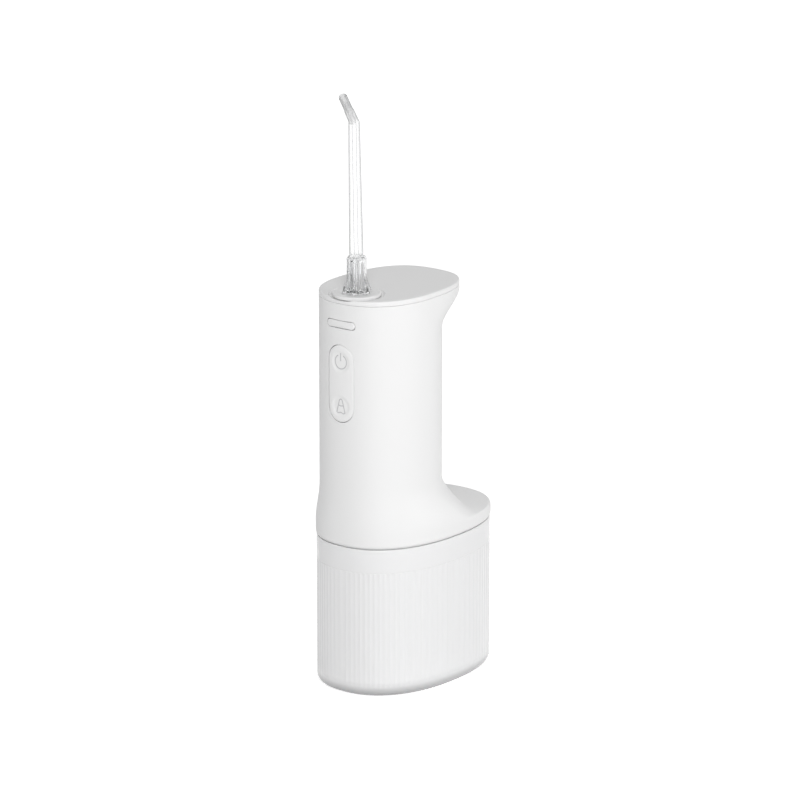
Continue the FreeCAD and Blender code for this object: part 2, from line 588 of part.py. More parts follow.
def nozzle():
    """Clear nozzle: stem in the socket, fluted collar, tapered shaft and bent tip."""
    foot, elbow, direction = shaft_frame()
    axis = elbow - foot
    upward = V(axis).normalize()
    tip_end = elbow + direction * TIP_LENGTH
    stem = cylinder(0, NOZZLE_Y, SOCKET_BOTTOM + 2.4, SLEEVE_BOTTOM, STEM_RADIUS)
    neck = cylinder(0, NOZZLE_Y, SLEEVE_BOTTOM, COLLAR_TOP - 1, NECK_RADIUS)
    collar = cylinder(0, NOZZLE_Y, DISC_TOP + 0.1, DISC_TOP + 1.1, COLLAR_RADIUS + 0.6)
    shaft_length = axis.Length - ELBOW_BEND
    shaft = Part.makeCone(SHAFT_RADIUS, SHAFT_TOP_RADIUS, shaft_length, foot, axis)
    bend_run = [elbow - upward * (ELBOW_BEND + 2), elbow, elbow + direction * (ELBOW_BEND + 2)]
    elbow_bar = pipe(bend_run, ELBOW_RADIUS, ELBOW_BEND)
    tip = Part.makeCylinder(TIP_RADIUS, TIP_LENGTH - ELBOW_BEND, elbow + direction * ELBOW_BEND,
                            direction)
    body = fuse([stem, neck, collar, shaft, elbow_bar, tip]
                + [flute(360 * i / FLUTES) for i in range(FLUTES)])
    body = body.cut(cylinder(0, NOZZLE_Y, SOCKET_BOTTOM, foot.z + 0.5, NOZZLE_BORE))
    return body.cut(pipe([foot, elbow, tip_end + direction], NOZZLE_BORE * 0.98, ELBOW_BEND))


# ---------------------------------------------------------------- frame, cell and electronics
def inner_frame():
    """Deck on four posts: carries the motor and the cell, and hangs the pump's crank gear."""
    deck = handle_body(WALL + GAP, DECK_Z, DECK_TOP)
    posts = [cylinder(x, y, PLUG_TOP, DECK_Z, POST_RADIUS) for x, y in POST_PLACES]
    cradle = cylinder(CELL_X, CELL_Y, DECK_TOP, DECK_TOP + 40, CELL_RADIUS + 1.6)
    cradle = cradle.common(handle_body(WALL + GAP, DECK_Z, DECK_TOP + 40))
    cradle = cradle.cut(block(CELL_X, CELL_X + 30, -50, 30, DECK_TOP, DECK_TOP + 40))
    body = fuse([deck, cradle] + posts)
    body = body.cut(cylinder(CELL_X, CELL_Y, DECK_TOP, DECK_TOP + 41, CELL_RADIUS + 0.2))
    body = body.cut(cylinder(MOTOR_X, MOTOR_Y, DECK_Z - 1, DECK_TOP + 1, 3.6))
    body = body.cut(cylinder(CRANK_X, CRANK_Y, DECK_Z - 1, DECK_TOP + 1, 1.5))
    room = OUTLET_RADIUS + 1.0
    body = body.cut(block(CRANK_X - room, room, FRONT_Y, NOZZLE_Y + room, DECK_Z - 1, DECK_TOP + 1))
    for x, y in motor_screw_places():
        body = body.cut(cylinder(x, y, DECK_Z - 1, DECK_TOP + 1, 0.9))
    for x, y in POST_PLACES:
        body = body.cut(cylinder(x, y, PLUG_TOP - 1, PLUG_TOP + 8, SCREW_RADIUS))
    return body


def battery_cell():
    can = cylinder(CELL_X, CELL_Y, DECK_TOP, DECK_TOP + CELL_LENGTH - 1, CELL_RADIUS)
    terminal = cylinder(CELL_X, CELL_Y, DECK_TOP + CELL_LENGTH - 1, DECK_TOP + CELL_LENGTH, 3.0)
    return can.fuse(terminal)


def circuit_board():
    return block(-12.5, 12.5, BOARD_FRONT, BOARD_FRONT + BOARD_THICKNESS, PAD_Z - 28, PAD_Z + 14)


def tact_switch(z):
    body = block(-3, 3, BOARD_FRONT - 1.4, BOARD_FRONT, z - 3, z + 3)
    return body.fuse(cylinder_y(0, z, BOARD_FRONT - SWITCH_HEIGHT, BOARD_FRONT - 1.4, 1.6))


def mode_switch():
    return tact_switch(button_heights()[0])


def power_switch():
    return tact_switch(button_heights()[1])


def board_components():
    """Controller chip, coil and charging chip on the back of the board."""
    y0 = BOARD_FRONT + BOARD_THICKNESS
    chip = block(4.2, 10.2, y0, y0 + 1.2, PAD_Z - 8, PAD_Z - 2)
    coil = block(-10.5, -4.5, y0, y0 + 2.6, PAD_Z - 24, PAD_Z - 18)
    charger = block(4.2, 8.2, y0, y0 + 1.2, PAD_Z - 22, PAD_Z - 18)
    return Part.makeCompound([chip, coil, charger])


def board_bracket():
    """Clip that stands on the deck and holds the board's lower edge."""
    y0 = BOARD_FRONT - 1.2
    y1 = BOARD_FRONT + BOARD_THICKNESS + 1.2
    clip = block(-12.5, 12.5, y0, y1, DECK_TOP, PAD_Z - 26)
    clip = clip.common(handle_body(WALL + GAP, DECK_Z, PAD_Z))
    clip = clip.cut(block(-14, 14, BOARD_FRONT, BOARD_FRONT + BOARD_THICKNESS, PAD_Z - 28, PAD_Z))
    return clip.cut(block(-9, 9, y0 - 1, y1 + 1, DECK_TOP - 1, PAD_Z - 31))


def charge_port():
    """Round contact plate set into the handle's back."""
    disc = cylinder_y(0, CHARGE_Z, BACK_Y - 3.4, BACK_Y - 0.5, CHARGE_RADIUS)
    for side in (-1, 1):
        disc = disc.cut(cylinder_y(side * 2.8, CHARGE_Z, BACK_Y - 4, BACK_Y, 1.25))
    return disc


def charge_contacts():
    pins = []
    for side in (-1, 1):
        pins.append(cylinder_y(side * 2.8, CHARGE_Z, BACK_Y - 3.4, BACK_Y - 0.3, 1.25))
    return Part.makeCompound(pins)


# ---------------------------------------------------------------- motor and gears
def motor_screw_places():
    return [(MOTOR_X, MOTOR_Y + side * 8.0) for side in (-1, 1)]


def motor_can():
    """Steel can with a front boss; its back is open for the end cap."""
    can = cylinder(MOTOR_X, MOTOR_Y, DECK_TOP, DECK_TOP + MOTOR_LENGTH - 3, MOTOR_RADIUS)
    room = cylinder(MOTOR_X, MOTOR_Y, DECK_TOP + 1.5, DECK_TOP + MOTOR_LENGTH, MOTOR_RADIUS - 1)
    boss = cylinder(MOTOR_X, MOTOR_Y, DECK_TOP - 1.8, DECK_TOP, 3.5)
    body = fuse([can, boss]).cut(room)
    body = body.cut(cylinder(MOTOR_X, MOTOR_Y, DECK_Z, DECK_TOP + 3, MOTOR_SHAFT_RADIUS + FIT))
    for x, y in motor_screw_places():
        body = body.cut(cylinder(x, y, DECK_TOP - 1, DECK_TOP + 2, 0.9))
    return body


def motor_end_cap():
    z0 = DECK_TOP + MOTOR_LENGTH - 3
    cap = cylinder(MOTOR_X, MOTOR_Y, z0, z0 + 3, MOTOR_RADIUS)
    spigot = cylinder(MOTOR_X, MOTOR_Y, z0 - 2, z0, MOTOR_RADIUS - 1.05)
    tabs = [block(MOTOR_X + s * 6 - 1.2, MOTOR_X + s * 6 + 1.2, MOTOR_Y - 0.3, MOTOR_Y + 0.3,
                  z0 + 3, z0 + 7) for s in (-1, 1)]
    body = fuse([cap, spigot] + tabs)
    return body.cut(cylinder(MOTOR_X, MOTOR_Y, z0 - 3, z0 + 2, MOTOR_SHAFT_RADIUS + FIT))


def motor_magnets():
    """Two curved magnets inside the can."""
    z0, z1 = DECK_TOP + 4, DECK_TOP + MOTOR_LENGTH - 7
    ring = cylinder(MOTOR_X, MOTOR_Y, z0, z1, MOTOR_RADIUS - 1.1)
    ring = ring.cut(cylinder(MOTOR_X, MOTOR_Y, z0, z1, MOTOR_RADIUS - 3.2))
    return ring.cut(block(MOTOR_X - 20, MOTOR_X + 20, MOTOR_Y - 2.5, MOTOR_Y + 2.5, z0, z1))


def motor_armature():
    z0, z1 = DECK_TOP + 5, DECK_TOP + MOTOR_LENGTH - 8
    core = cylinder(MOTOR_X, MOTOR_Y, z0, z1, MOTOR_RADIUS - 3.6)
    return core.cut(cylinder(MOTOR_X, MOTOR_Y, z0, z1, MOTOR_SHAFT_RADIUS))


def motor_shaft():
    top = DECK_TOP + MOTOR_LENGTH - 1.3
    return cylinder(MOTOR_X, MOTOR_Y, CRANK_Z - 1, top, MOTOR_SHAFT_RADIUS)


def gear_wheel(teeth, thickness, x, y, z, phase):
    """Spur gear with involute flanks, thinned by half the backlash."""
    pitch = GEAR_MODULE * teeth / 2
    base = pitch * math.cos(PRESSURE_ANGLE)
    tip = pitch + GEAR_MODULE * 0.9
    root = pitch - GEAR_MODULE * 1.2
    involute = math.tan(PRESSURE_ANGLE) - PRESSURE_ANGLE
    half_tooth = math.pi / (2 * teeth) - GEAR_BACKLASH / (4 * pitch) + involute
    flank = []
    steps = 4
    start = max(base, root + 0.02)
    for i in range(steps + 1):
        radius = start + (tip - start) * i / steps
        angle = math.acos(min(1, base / radius))
        flank.append((radius, half_tooth - (math.tan(angle) - angle)))
    points = []
    for tooth in range(teeth):
        middle = phase + 2 * math.pi * tooth / teeth
        outline = [(root, -flank[0][1])] + [(r, -a) for r, a in flank]
        outline += [(r, a) for r, a in reversed(flank)] + [(root, flank[0][1])]
        for radius, angle in outline:
            points.append(V(x + radius * math.cos(middle + angle),
                            y + radius * math.sin(middle + angle), z))
    return prism(Part.makePolygon(points + points[:1]), thickness)


def mesh_direction():
    """Angle from the pinion's centre to the crank gear's."""
    return math.atan2(CRANK_Y - MOTOR_Y, CRANK_X - MOTOR_X)


def pinion():
    """Drive gear on the motor's shaft, with a tooth on the centre line."""
    gear = gear_wheel(PINION_TEETH, CRANK_THICKNESS + 1, MOTOR_X, MOTOR_Y, CRANK_Z - 0.5,
                      mesh_direction())
    return gear.cut(cylinder(MOTOR_X, MOTOR_Y, CRANK_Z - 1, DECK_Z, MOTOR_SHAFT_RADIUS))


def crank_gear():
    """Driven gear, with a gap on the centre line for the pinion's tooth."""
    phase = mesh_direction() + math.pi + math.pi / CRANK_TEETH
    gear = gear_wheel(CRANK_TEETH, CRANK_THICKNESS, CRANK_X, CRANK_Y, CRANK_Z, phase)
    gear = gear.cut(cylinder(CRANK_X, CRANK_Y, CRANK_Z - 1, DECK_Z, 1.5 + FIT))
    return gear.cut(cylinder(CRANK_X, CRANK_PIN_Y, CRANK_Z - 1, CRANK_Z + 2.5, 0.9))


def crank_pin():
    """Pin under the gear; it ends just above the connecting rod's eye."""
    rod_top = PUMP_Z + ROD_THICKNESS / 2
    return cylinder(CRANK_X, CRANK_PIN_Y, rod_top + GAP, CRANK_Z + 2.5, 0.9)


def gear_axle():
    """Axle of the crank gear, hung from the deck, with a head that keeps the gear on."""
    axle = cylinder(CRANK_X, CRANK_Y, CRANK_Z - 0.3, DECK_TOP, 1.5)
    spacer = cylinder(CRANK_X, CRANK_Y, CRANK_Z + CRANK_THICKNESS + 0.2, DECK_Z, 2.6)
    return axle.fuse(spacer)


# ---------------------------------------------------------------- pump
def pump_cylinder():
    """Barrel along Y with a saddle down to the handle's floor."""
    z = PUMP_Z
    barrel = cylinder_y(CRANK_X, z, HEAD_Y, WRIST_Y + 2.5, PISTON_RADIUS + PUMP_WALL)
    saddle = block(CRANK_X - 4, CRANK_X + 4, HEAD_Y + 1, WRIST_Y + 1.5, PLUG_TOP, z)
    body = fuse([barrel, saddle])
    return body.cut(cylinder_y(CRANK_X, z, HEAD_Y - 1, WRIST_Y + 4, PISTON_RADIUS + FIT))


def pump_head():
    """Valve block on the barrel's front end: inlet nipple to +X, outlet nipple on top."""
    z = PUMP_Z
    body = cylinder_y(CRANK_X, z, HEAD_Y - HEAD_DEPTH, HEAD_Y, PISTON_RADIUS + PUMP_WALL)
    middle = HEAD_Y - HEAD_DEPTH / 2
    inlet = cylinder_x(middle, z, CRANK_X, CRANK_X + 10, HOSE_BORE - FIT)
    outlet = cylinder(CRANK_X, middle, z, z + 10, HOSE_BORE - FIT)
    body = fuse([body, inlet, outlet])
    body = body.cut(cylinder_x(middle, z, CRANK_X + 0.5, CRANK_X + 11, 0.7))
    body = body.cut(cylinder(CRANK_X, middle, z + 0.5, z + 11, 0.7))
    room = VALVE_BALL_RADIUS + 0.15
    body = body.cut(cylinder_x(middle, z, CRANK_X + 1.5, CRANK_X + 4.6, room))
    return body.cut(cylinder(CRANK_X, middle, z + 1.5, z + 4.6, room))


def inlet_valve_ball():
    """Check-valve ball in the head's inlet passage."""
    return Part.makeSphere(VALVE_BALL_RADIUS, V(CRANK_X + 3.0, HEAD_Y - HEAD_DEPTH / 2, PUMP_Z))


def outlet_valve_ball():
    """Check-valve ball in the head's outlet passage, resting low on its seat."""
    return Part.makeSphere(VALVE_BALL_RADIUS, V(CRANK_X, HEAD_Y - HEAD_DEPTH / 2, PUMP_Z + 2.65))


def piston():
    """Plunger with a slotted tail for the connecting rod and a groove for its seal."""
    z = PUMP_Z
    body = cylinder_y(CRANK_X, z, PISTON_CROWN, WRIST_Y + 2.0, PISTON_RADIUS)
    slot = block(CRANK_X - 5, CRANK_X + 5, WRIST_Y - 2.3, WRIST_Y + 3,
                 z - ROD_THICKNESS / 2 - GAP, z + ROD_THICKNESS / 2 + GAP)
    groove = cylinder_y(CRANK_X, z, PISTON_CROWN + 1.0, PISTON_CROWN + 2.2, PISTON_RADIUS + 1)
    groove = groove.cut(cylinder_y(CRANK_X, z, PISTON_CROWN, PISTON_CROWN + 3, PISTON_RADIUS - 0.9))
    body = body.cut(slot).cut(groove)
    return body.cut(cylinder(CRANK_X, WRIST_Y, z - 6, z + 6, 0.8))


def piston_seal():
    z = PUMP_Z
    ring = cylinder_y(CRANK_X, z, PISTON_CROWN + 1.0, PISTON_CROWN + 2.2, PISTON_RADIUS + 0.02)
    return ring.cut(cylinder_y(CRANK_X, z, PISTON_CROWN, PISTON_CROWN + 3, PISTON_RADIUS - 0.9))


def wrist_pin():
    reach = math.sqrt((PISTON_RADIUS - 0.05) ** 2 - 0.8 ** 2)
    return cylinder(CRANK_X, WRIST_Y, PUMP_Z - reach, PUMP_Z + reach, 0.8)


def connecting_rod():
    """Rod with an eye at each end."""
    z0, z1 = PUMP_Z - ROD_THICKNESS / 2, PUMP_Z + ROD_THICKNESS / 2
    big_eye = cylinder(CRANK_X, CRANK_PIN_Y, z0, z1, 2.2)
    small_eye = cylinder(CRANK_X, WRIST_Y, z0, z1, 1.9)
    bar = block(CRANK_X - 1, CRANK_X + 1, WRIST_Y, CRANK_PIN_Y, z0, z1)
    body = fuse([big_eye, small_eye, bar])
    body = body.cut(cylinder(CRANK_X, CRANK_PIN_Y, z0, z1, 0.9 + FIT))
    return body.cut(cylinder(CRANK_X, WRIST_Y, z0, z1, 0.8 + FIT))


# ---------------------------------------------------------------- water path
def intake_hose():
    """From the plug's nipple round to the pump head's inlet."""
    middle = HEAD_Y - HEAD_DEPTH / 2
    z = PUMP_Z
    side = CRANK_X + 14.0
    low = PLUG_TOP + 7.0
    points = [(CRANK_X + PISTON_RADIUS + PUMP_WALL + GAP, middle, z), (side, middle, z),
              (side, CRANK_Y, z), (side, TUBE_Y, low), (0, TUBE_Y, low), (0, TUBE_Y, PLUG_TOP)]
    return tube(points, INTAKE_RADIUS, HOSE_BORE, 3.5)


def outlet_hose():
    """From the pump head's outlet up to the nozzle socket."""
    middle = HEAD_Y - HEAD_DEPTH / 2
    start = PUMP_Z + PISTON_RADIUS + PUMP_WALL + GAP
    points = [(CRANK_X, middle, start), (CRANK_X, middle, start + 4),
              (0, NOZZLE_Y, start + 13), (0, NOZZLE_Y, SOCKET_BOTTOM)]
    return tube(points, OUTLET_RADIUS, HOSE_BORE, 3.0)


def suction_tube():
    """Straight tube from the plug down to the filter near the tank's floor."""
    top = TANK_HEIGHT - 0.2
    outer = cylinder(0, TUBE_Y, TANK_FLOOR + 5, top, TUBE_RADIUS)
    return outer.cut(cylinder(0, TUBE_Y, TANK_FLOOR + 4, top + 1, TUBE_RADIUS - 0.8))


def suction_filter():
    """Weighted strainer on the tube's lower end."""
    body = cylinder(0, TUBE_Y, TANK_FLOOR + 1.0, TANK_FLOOR + 11, TUBE_RADIUS + 2.2)
    body = body.cut(cylinder(0, TUBE_Y, TANK_FLOOR + 5, TANK_FLOOR + 12, TUBE_RADIUS))
    body = body.cut(cylinder(0, TUBE_Y, TANK_FLOOR, TANK_FLOOR + 6, TUBE_RADIUS - 0.8))
    for i in range(6):
        slot = block(0, 8, -0.5, 0.5, TANK_FLOOR, TANK_FLOOR + 3)
        slot.rotate(V(0, 0, 0), Z, 60 * i)
        slot.translate(V(0, TUBE_Y, 0))
        body = body.cut(slot)
    return body


# ---------------------------------------------------------------- fasteners
def screw(x, y, head_z, head_radius, radius, length):
    """Screw driven upwards, with its head at the bottom."""
    head = cylinder(x, y, head_z - 1.3, head_z, head_radius)
    return head.fuse(cylinder(x, y, head_z, head_z + length, radius))


def frame_screws():
    screws = []
    for x, y in POST_PLACES:
        screws.append(screw(x, y, TANK_HEIGHT - 1.4, SCREW_HEAD_RADIUS - 0.1, SCREW_RADIUS, 11))
    return Part.makeCompound(screws)


def motor_screws():
    screws = []
    for x, y in motor_screw_places():
        screws.append(screw(x, y, DECK_Z, 1.7, 0.9, 3.6))
    return Part.makeCompound(screws)


# ---------------------------------------------------------------- output
PIECES = [
    tank, fill_cap, fill_cap_seal, cap_hinge_pin,
    housing, top_lid, base_plug, tank_gasket,
    button_pad, release_button, latch_plate, release_spring,
    nozzle_socket, socket_seal, rotation_disc, nozzle,
    inner_frame, battery_cell, circuit_board, mode_switch, power_switch, board_components,
    board_bracket, charge_port, charge_contacts,
    motor_can, motor_end_cap, motor_magnets, motor_armature, motor_shaft,
    pinion, crank_gear, crank_pin, gear_axle,
    pump_cylinder, pump_head, inlet_valve_ball, outlet_valve_ball,
    piston, piston_seal, wrist_pin, connecting_rod,
    intake_hose, outlet_hose, suction_tube, suction_filter,
    frame_screws, motor_screws,
]

os.makedirs("parts", exist_ok=True)
for make in PIECES:
    shape = make()
    shape.exportStep(os.path.join("parts", make.__name__ + ".step"))
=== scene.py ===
import math

import bmesh
import bpy
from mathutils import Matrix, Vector


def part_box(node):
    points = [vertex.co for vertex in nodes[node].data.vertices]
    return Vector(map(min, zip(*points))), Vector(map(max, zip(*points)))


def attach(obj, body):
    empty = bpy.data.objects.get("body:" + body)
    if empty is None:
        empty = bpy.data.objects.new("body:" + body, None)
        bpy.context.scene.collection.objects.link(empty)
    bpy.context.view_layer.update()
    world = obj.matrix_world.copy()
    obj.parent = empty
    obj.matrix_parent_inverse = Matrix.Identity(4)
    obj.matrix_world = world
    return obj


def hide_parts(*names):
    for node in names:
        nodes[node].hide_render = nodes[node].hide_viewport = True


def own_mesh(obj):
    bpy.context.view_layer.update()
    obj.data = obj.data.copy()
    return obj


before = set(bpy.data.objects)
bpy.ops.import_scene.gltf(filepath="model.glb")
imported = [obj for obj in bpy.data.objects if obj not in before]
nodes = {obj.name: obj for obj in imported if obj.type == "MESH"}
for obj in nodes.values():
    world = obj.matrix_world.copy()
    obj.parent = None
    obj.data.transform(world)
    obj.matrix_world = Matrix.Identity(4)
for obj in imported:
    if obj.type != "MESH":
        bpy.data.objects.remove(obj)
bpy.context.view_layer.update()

# ------------------------------------------------------------------ water tank
# The tank is one moulding in frosted clear plastic with a thick clear foot, whose lowest few
# millimetres are painted darker as painted shade. Fine upright flutes run round its inner wall,
# show faintly outside, and stop below a plain rim band.
MM = 0.001
_, tank_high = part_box("tank")
TANK_HALF_LENGTH = tank_high.y
TANK_HALF_WIDTH = tank_high.x
TANK_TOP = tank_high.z
TANK_ROUNDNESS = 2.3
TANK_WALL = 2.0 * MM
TANK_FLOOR = 4.0 * MM
FOOT_RADIUS = 3.5 * MM
FLUTE_TOP = 56.5 * MM
FLUTE_COUNT = 92
FLUTE_DEPTH = 0.75 * MM
OUTER_SHARE = 0.2
LINE_DEPTH = 0.14 * MM
RIM_LIP, FLOOR_CORNER = 0.4 * MM, 3.0 * MM
OUTER_FOOT, INNER_FOOT = 5.0 * MM, 7.0 * MM
PLAIN_HALF, PLAIN_TOP = 16.0 * MM, 62.0 * MM
OUTER_PLAIN, INNER_PLAIN = 34.0 * MM, 22.0 * MM
AROUND = 12 * FLUTE_COUNT


def superellipse(centre, front, rear, half, front_power, rear_power, count):
    """Points of a rounded oval with its own reach to the front and to the rear."""
    points = []
    for i in range(count):
        angle = 2 * math.pi * i / count
        c, s = math.cos(angle), math.sin(angle)
        power, reach = (rear_power, rear) if s > 0 else (front_power, front)
        x = half * math.copysign(abs(c) ** (2 / power), c)
        y = centre + reach * math.copysign(abs(s) ** (2 / power), s)
        points.append((x, y))
    return points


def skin(name, rings, closed=False):
    """Mesh object through rings of (x, y, z) points, with faces pointing outwards."""
    count = len(rings[0])
    vertices = [p for ring in rings for p in ring]
    faces = []
    last = len(rings) if closed else len(rings) - 1
    for r in range(last):
        a, b = r * count, (r + 1) % len(rings) * count
        for i in range(count):
            j = (i + 1) % count
            faces.append((a + i, a + j, b + j, b + i))
    if not closed:
        base = (len(rings) - 1) * count
        faces.append(tuple(range(count - 1, -1, -1)))
        faces.append(tuple(range(base, base + count)))
    mesh = bpy.data.meshes.new(name)
    mesh.from_pydata(vertices, [], faces)
    mesh.update()
    piece = bpy.data.objects.new(name, mesh)
    bpy.context.collection.objects.link(piece)
    return piece


def smooth(piece, angle=35):
    """Smooth shading, with edges sharper than the angle kept crisp."""
    piece.data.shade_smooth()
    piece.data.set_sharp_from_angle(angle=math.radians(angle))


def bake(piece):
    """Replaces the piece's mesh with its evaluated one and removes the modifiers."""
    graph = bpy.context.evaluated_depsgraph_get()
    mesh = bpy.data.meshes.new_from_object(piece.evaluated_get(graph))
    piece.modifiers.clear()
    piece.data = mesh


def boolean(piece, tool, operation="DIFFERENCE"):
    """Cuts or joins the tool into the piece, and removes the tool."""
    modifier = piece.modifiers.new("cut", "BOOLEAN")
    modifier.operation = operation
    modifier.solver = "EXACT"
    modifier.object = tool
    bake(piece)
    bpy.data.objects.remove(tool)


def tank_oval(inset, z):
    """Level section of the tank, drawn in by inset."""
    half = TANK_HALF_LENGTH - inset
    flat = superellipse(0, half, half, TANK_HALF_WIDTH - inset, TANK_ROUNDNESS, TANK_ROUNDNESS,
                        AROUND)
    return [(x, y, z) for x, y in flat]


def quarter(radius, steps):
    """(inset, height) pairs of a quarter round, from its flat end to its upright end."""
    pairs = []
    for i in range(steps + 1):
        angle = math.pi / 2 * i / steps
        pairs.append((radius * (1 - math.sin(angle)), radius * (1 - math.cos(angle))))
    return pairs


def tank_rings():
    """Sections up the tank's outside and down its inside, and how many are outside."""
    rings = [tank_oval(TANK_HALF_WIDTH * share, 0) for share in (0.9, 0.6, 0.3)]
    rings += [tank_oval(inset, z) for inset, z in quarter(FOOT_RADIUS, 8)]
    rings += [tank_oval(0, z * MM) for z in (4.4, 5.6, 20, 33, 35, 56.1, 56.4)]
    rings += [tank_oval(LINE_DEPTH, 56.6 * MM), tank_oval(0, 56.8 * MM), tank_oval(0, 62 * MM)]
    rings += [tank_oval(inset, TANK_TOP - drop) for inset, drop in quarter(RIM_LIP, 4)][::-1]
    outer_count = len(rings)
    inner_levels = [TANK_TOP - RIM_LIP, 60 * MM, 57.5 * MM, FLUTE_TOP]
    inner_levels += [z * MM for z in (56.1, 55, 48, 36, 24, 14, 9, 7.6)]
    rings += [tank_oval(TANK_WALL, z) for z in inner_levels]
    rings += [tank_oval(TANK_WALL + inset, TANK_FLOOR + height)
              for inset, height in quarter(FLOOR_CORNER, 6)][::-1]
    rings += [tank_oval(TANK_WALL + FLOOR_CORNER + TANK_HALF_WIDTH * share, TANK_FLOOR)
              for share in (0.2, 0.5, 0.8)]
    return rings, outer_count


def flute_tree():
    """Geometry nodes that press the inner wall into upright flutes."""
    tree = bpy.data.node_groups.new("tank_flutes", "GeometryNodeTree")
    interface = tree.interface
    interface.new_socket("Geometry", in_out="INPUT", socket_type="NodeSocketGeometry")
    sockets = {}
    for name in ("Flute Count", "Flute Depth"):
        sockets[name] = interface.new_socket(name, in_out="INPUT", socket_type="NodeSocketFloat")
    sockets["Material"] = interface.new_socket("Material", in_out="INPUT",
                                               socket_type="NodeSocketMaterial")
    interface.new_socket("Geometry", in_out="OUTPUT", socket_type="NodeSocketGeometry")
    add = tree.nodes.new
    link = tree.links.new
    given, result = add("NodeGroupInput"), add("NodeGroupOutput")
    around, inward = add("GeometryNodeInputNamedAttribute"), add("GeometryNodeInputNamedAttribute")
    around.data_type, inward.data_type = "FLOAT", "FLOAT_VECTOR"
    around.inputs["Name"].default_value = "around"
    inward.inputs["Name"].default_value = "inward"
    turns, wave, height = (add("ShaderNodeMath") for _ in range(3))
    turns.operation, wave.operation, height.operation = "MULTIPLY", "SINE", "MULTIPLY"
    ripple = add("ShaderNodeMath")
    ripple.operation = "ABSOLUTE"
    link(around.outputs["Attribute"], turns.inputs[0])
    link(given.outputs["Flute Count"], turns.inputs[1])
    link(turns.outputs[0], wave.inputs[0])
    link(wave.outputs[0], ripple.inputs[0])
    link(ripple.outputs[0], height.inputs[0])
    link(given.outputs["Flute Depth"], height.inputs[1])
    push = add("ShaderNodeVectorMath")
    push.operation = "SCALE"
    link(inward.outputs["Attribute"], push.inputs[0])
    link(height.outputs[0], push.inputs["Scale"])
    move = add("GeometryNodeSetPosition")
    link(given.outputs["Geometry"], move.inputs["Geometry"])
    link(push.outputs[0], move.inputs["Offset"])
    real, finish = add("GeometryNodeRealizeInstances"), add("GeometryNodeSetMaterial")
    link(move.outputs[0], real.inputs[0])
    link(real.outputs[0], finish.inputs["Geometry"])
    link(given.outputs["Material"], finish.inputs["Material"])
    link(finish.outputs[0], result.inputs[0])
    return tree, {name: socket.identifier for name, socket in sockets.items()}


def new_material(name):
    """Material with its node tree, its Principled shader and its Object coordinates."""
    material = bpy.data.materials.new(name)
    material.use_nodes = True
    shader = material.node_tree.nodes["Principled BSDF"]
    place = material.node_tree.nodes.new("ShaderNodeTexCoord").outputs["Object"]
    return material, shader, place


def add_grain(material, shader, place, size, height, low, high):
    """Moulded grain: fine bump, and roughness that varies a little between low and high."""
    tree = material.node_tree
    fine, bump = tree.nodes.new("ShaderNodeTexNoise"), tree.nodes.new("ShaderNodeBump")
    fine.inputs["Scale"].default_value = 1 / size
    fine.inputs["Detail"].default_value = 3
    bump.inputs["Strength"].default_value = 0.5
    bump.inputs["Distance"].default_value = height
    tree.links.new(place, fine.inputs["Vector"])
    tree.links.new(fine.outputs["Fac"], bump.inputs["Height"])
    tree.links.new(bump.outputs["Normal"], shader.inputs["Normal"])
    patches, spread = tree.nodes.new("ShaderNodeTexNoise"), tree.nodes.new("ShaderNodeMapRange")
    patches.inputs["Scale"].default_value = 1 / (40 * size)
    spread.inputs["To Min"].default_value = low
    spread.inputs["To Max"].default_value = high
    tree.links.new(place, patches.inputs["Vector"])
    tree.links.new(patches.outputs["Fac"], spread.inputs["Value"])
    tree.links.new(spread.outputs["Result"], shader.inputs["Roughness"])


frosted, shader, place = new_material("frosted_clear_plastic")
tree = frosted.node_tree
# Painted shade: the base colour is grey below 2 mm and near white above 7 mm, so the tank's foot is
# painted darker than its wall.
height, foot_shade_ramp, painted_foot_shade = (tree.nodes.new(kind) for kind in (
    "ShaderNodeSeparateXYZ", "ShaderNodeMapRange", "ShaderNodeMix"))
foot_shade_ramp.interpolation_type = "SMOOTHSTEP"
foot_shade_ramp.inputs["From Min"].default_value = 2.0 * MM
foot_shade_ramp.inputs["From Max"].default_value = 7.0 * MM
painted_foot_shade.data_type = "RGBA"
painted_foot_shade.inputs["A"].default_value = (0.5, 0.5, 0.505, 1)
painted_foot_shade.inputs["B"].default_value = (0.97, 0.97, 0.975, 1)
tree.links.new(place, height.inputs[0])
tree.links.new(height.outputs["Z"], foot_shade_ramp.inputs["Value"])
tree.links.new(foot_shade_ramp.outputs["Result"], painted_foot_shade.inputs["Factor"])
tree.links.new(painted_foot_shade.outputs["Result"], shader.inputs["Base Color"])
shader.inputs["Transmission Weight"].default_value = 0.2
shader.inputs["IOR"].default_value = 1.45
add_grain(frosted, shader, place, 0.25 * MM, 0.004 * MM, 0.2, 0.26)

rings, outer_count = tank_rings()
tank = skin("water_tank", rings)
around = tank.data.attributes.new("around", "FLOAT", "POINT")
inward = tank.data.attributes.new("inward", "FLOAT_VECTOR", "POINT")
for r, ring in enumerate(rings):
    z = ring[0][2]
    inside = r >= outer_count
    fluted = (INNER_FOOT if inside else OUTER_FOOT) < z < FLUTE_TOP - 0.01 * MM
    for i, (x, y, _) in enumerate(ring):
        index = r * AROUND + i
        around.data[index].value = math.pi * i / AROUND
        before, after = ring[i - 1], ring[(i + 1) % AROUND]
        along = Vector((after[0] - before[0], after[1] - before[1], 0)).normalized()
        plain_low = INNER_PLAIN if inside else OUTER_PLAIN
        near_port = y > 0 and abs(x) < PLAIN_HALF and plain_low < z < PLAIN_TOP
        direction = Vector((-along.y, along.x, 0)) if fluted and not near_port else Vector()
        inward.data[index].vector = direction * (1.0 if inside else OUTER_SHARE)
tree, ids = flute_tree()
modifier = tank.modifiers.new("flutes", "NODES")
modifier.node_group = tree
modifier[ids["Flute Count"]] = float(FLUTE_COUNT)
modifier[ids["Flute Depth"]] = FLUTE_DEPTH
modifier[ids["Material"]] = frosted
bake(tank)

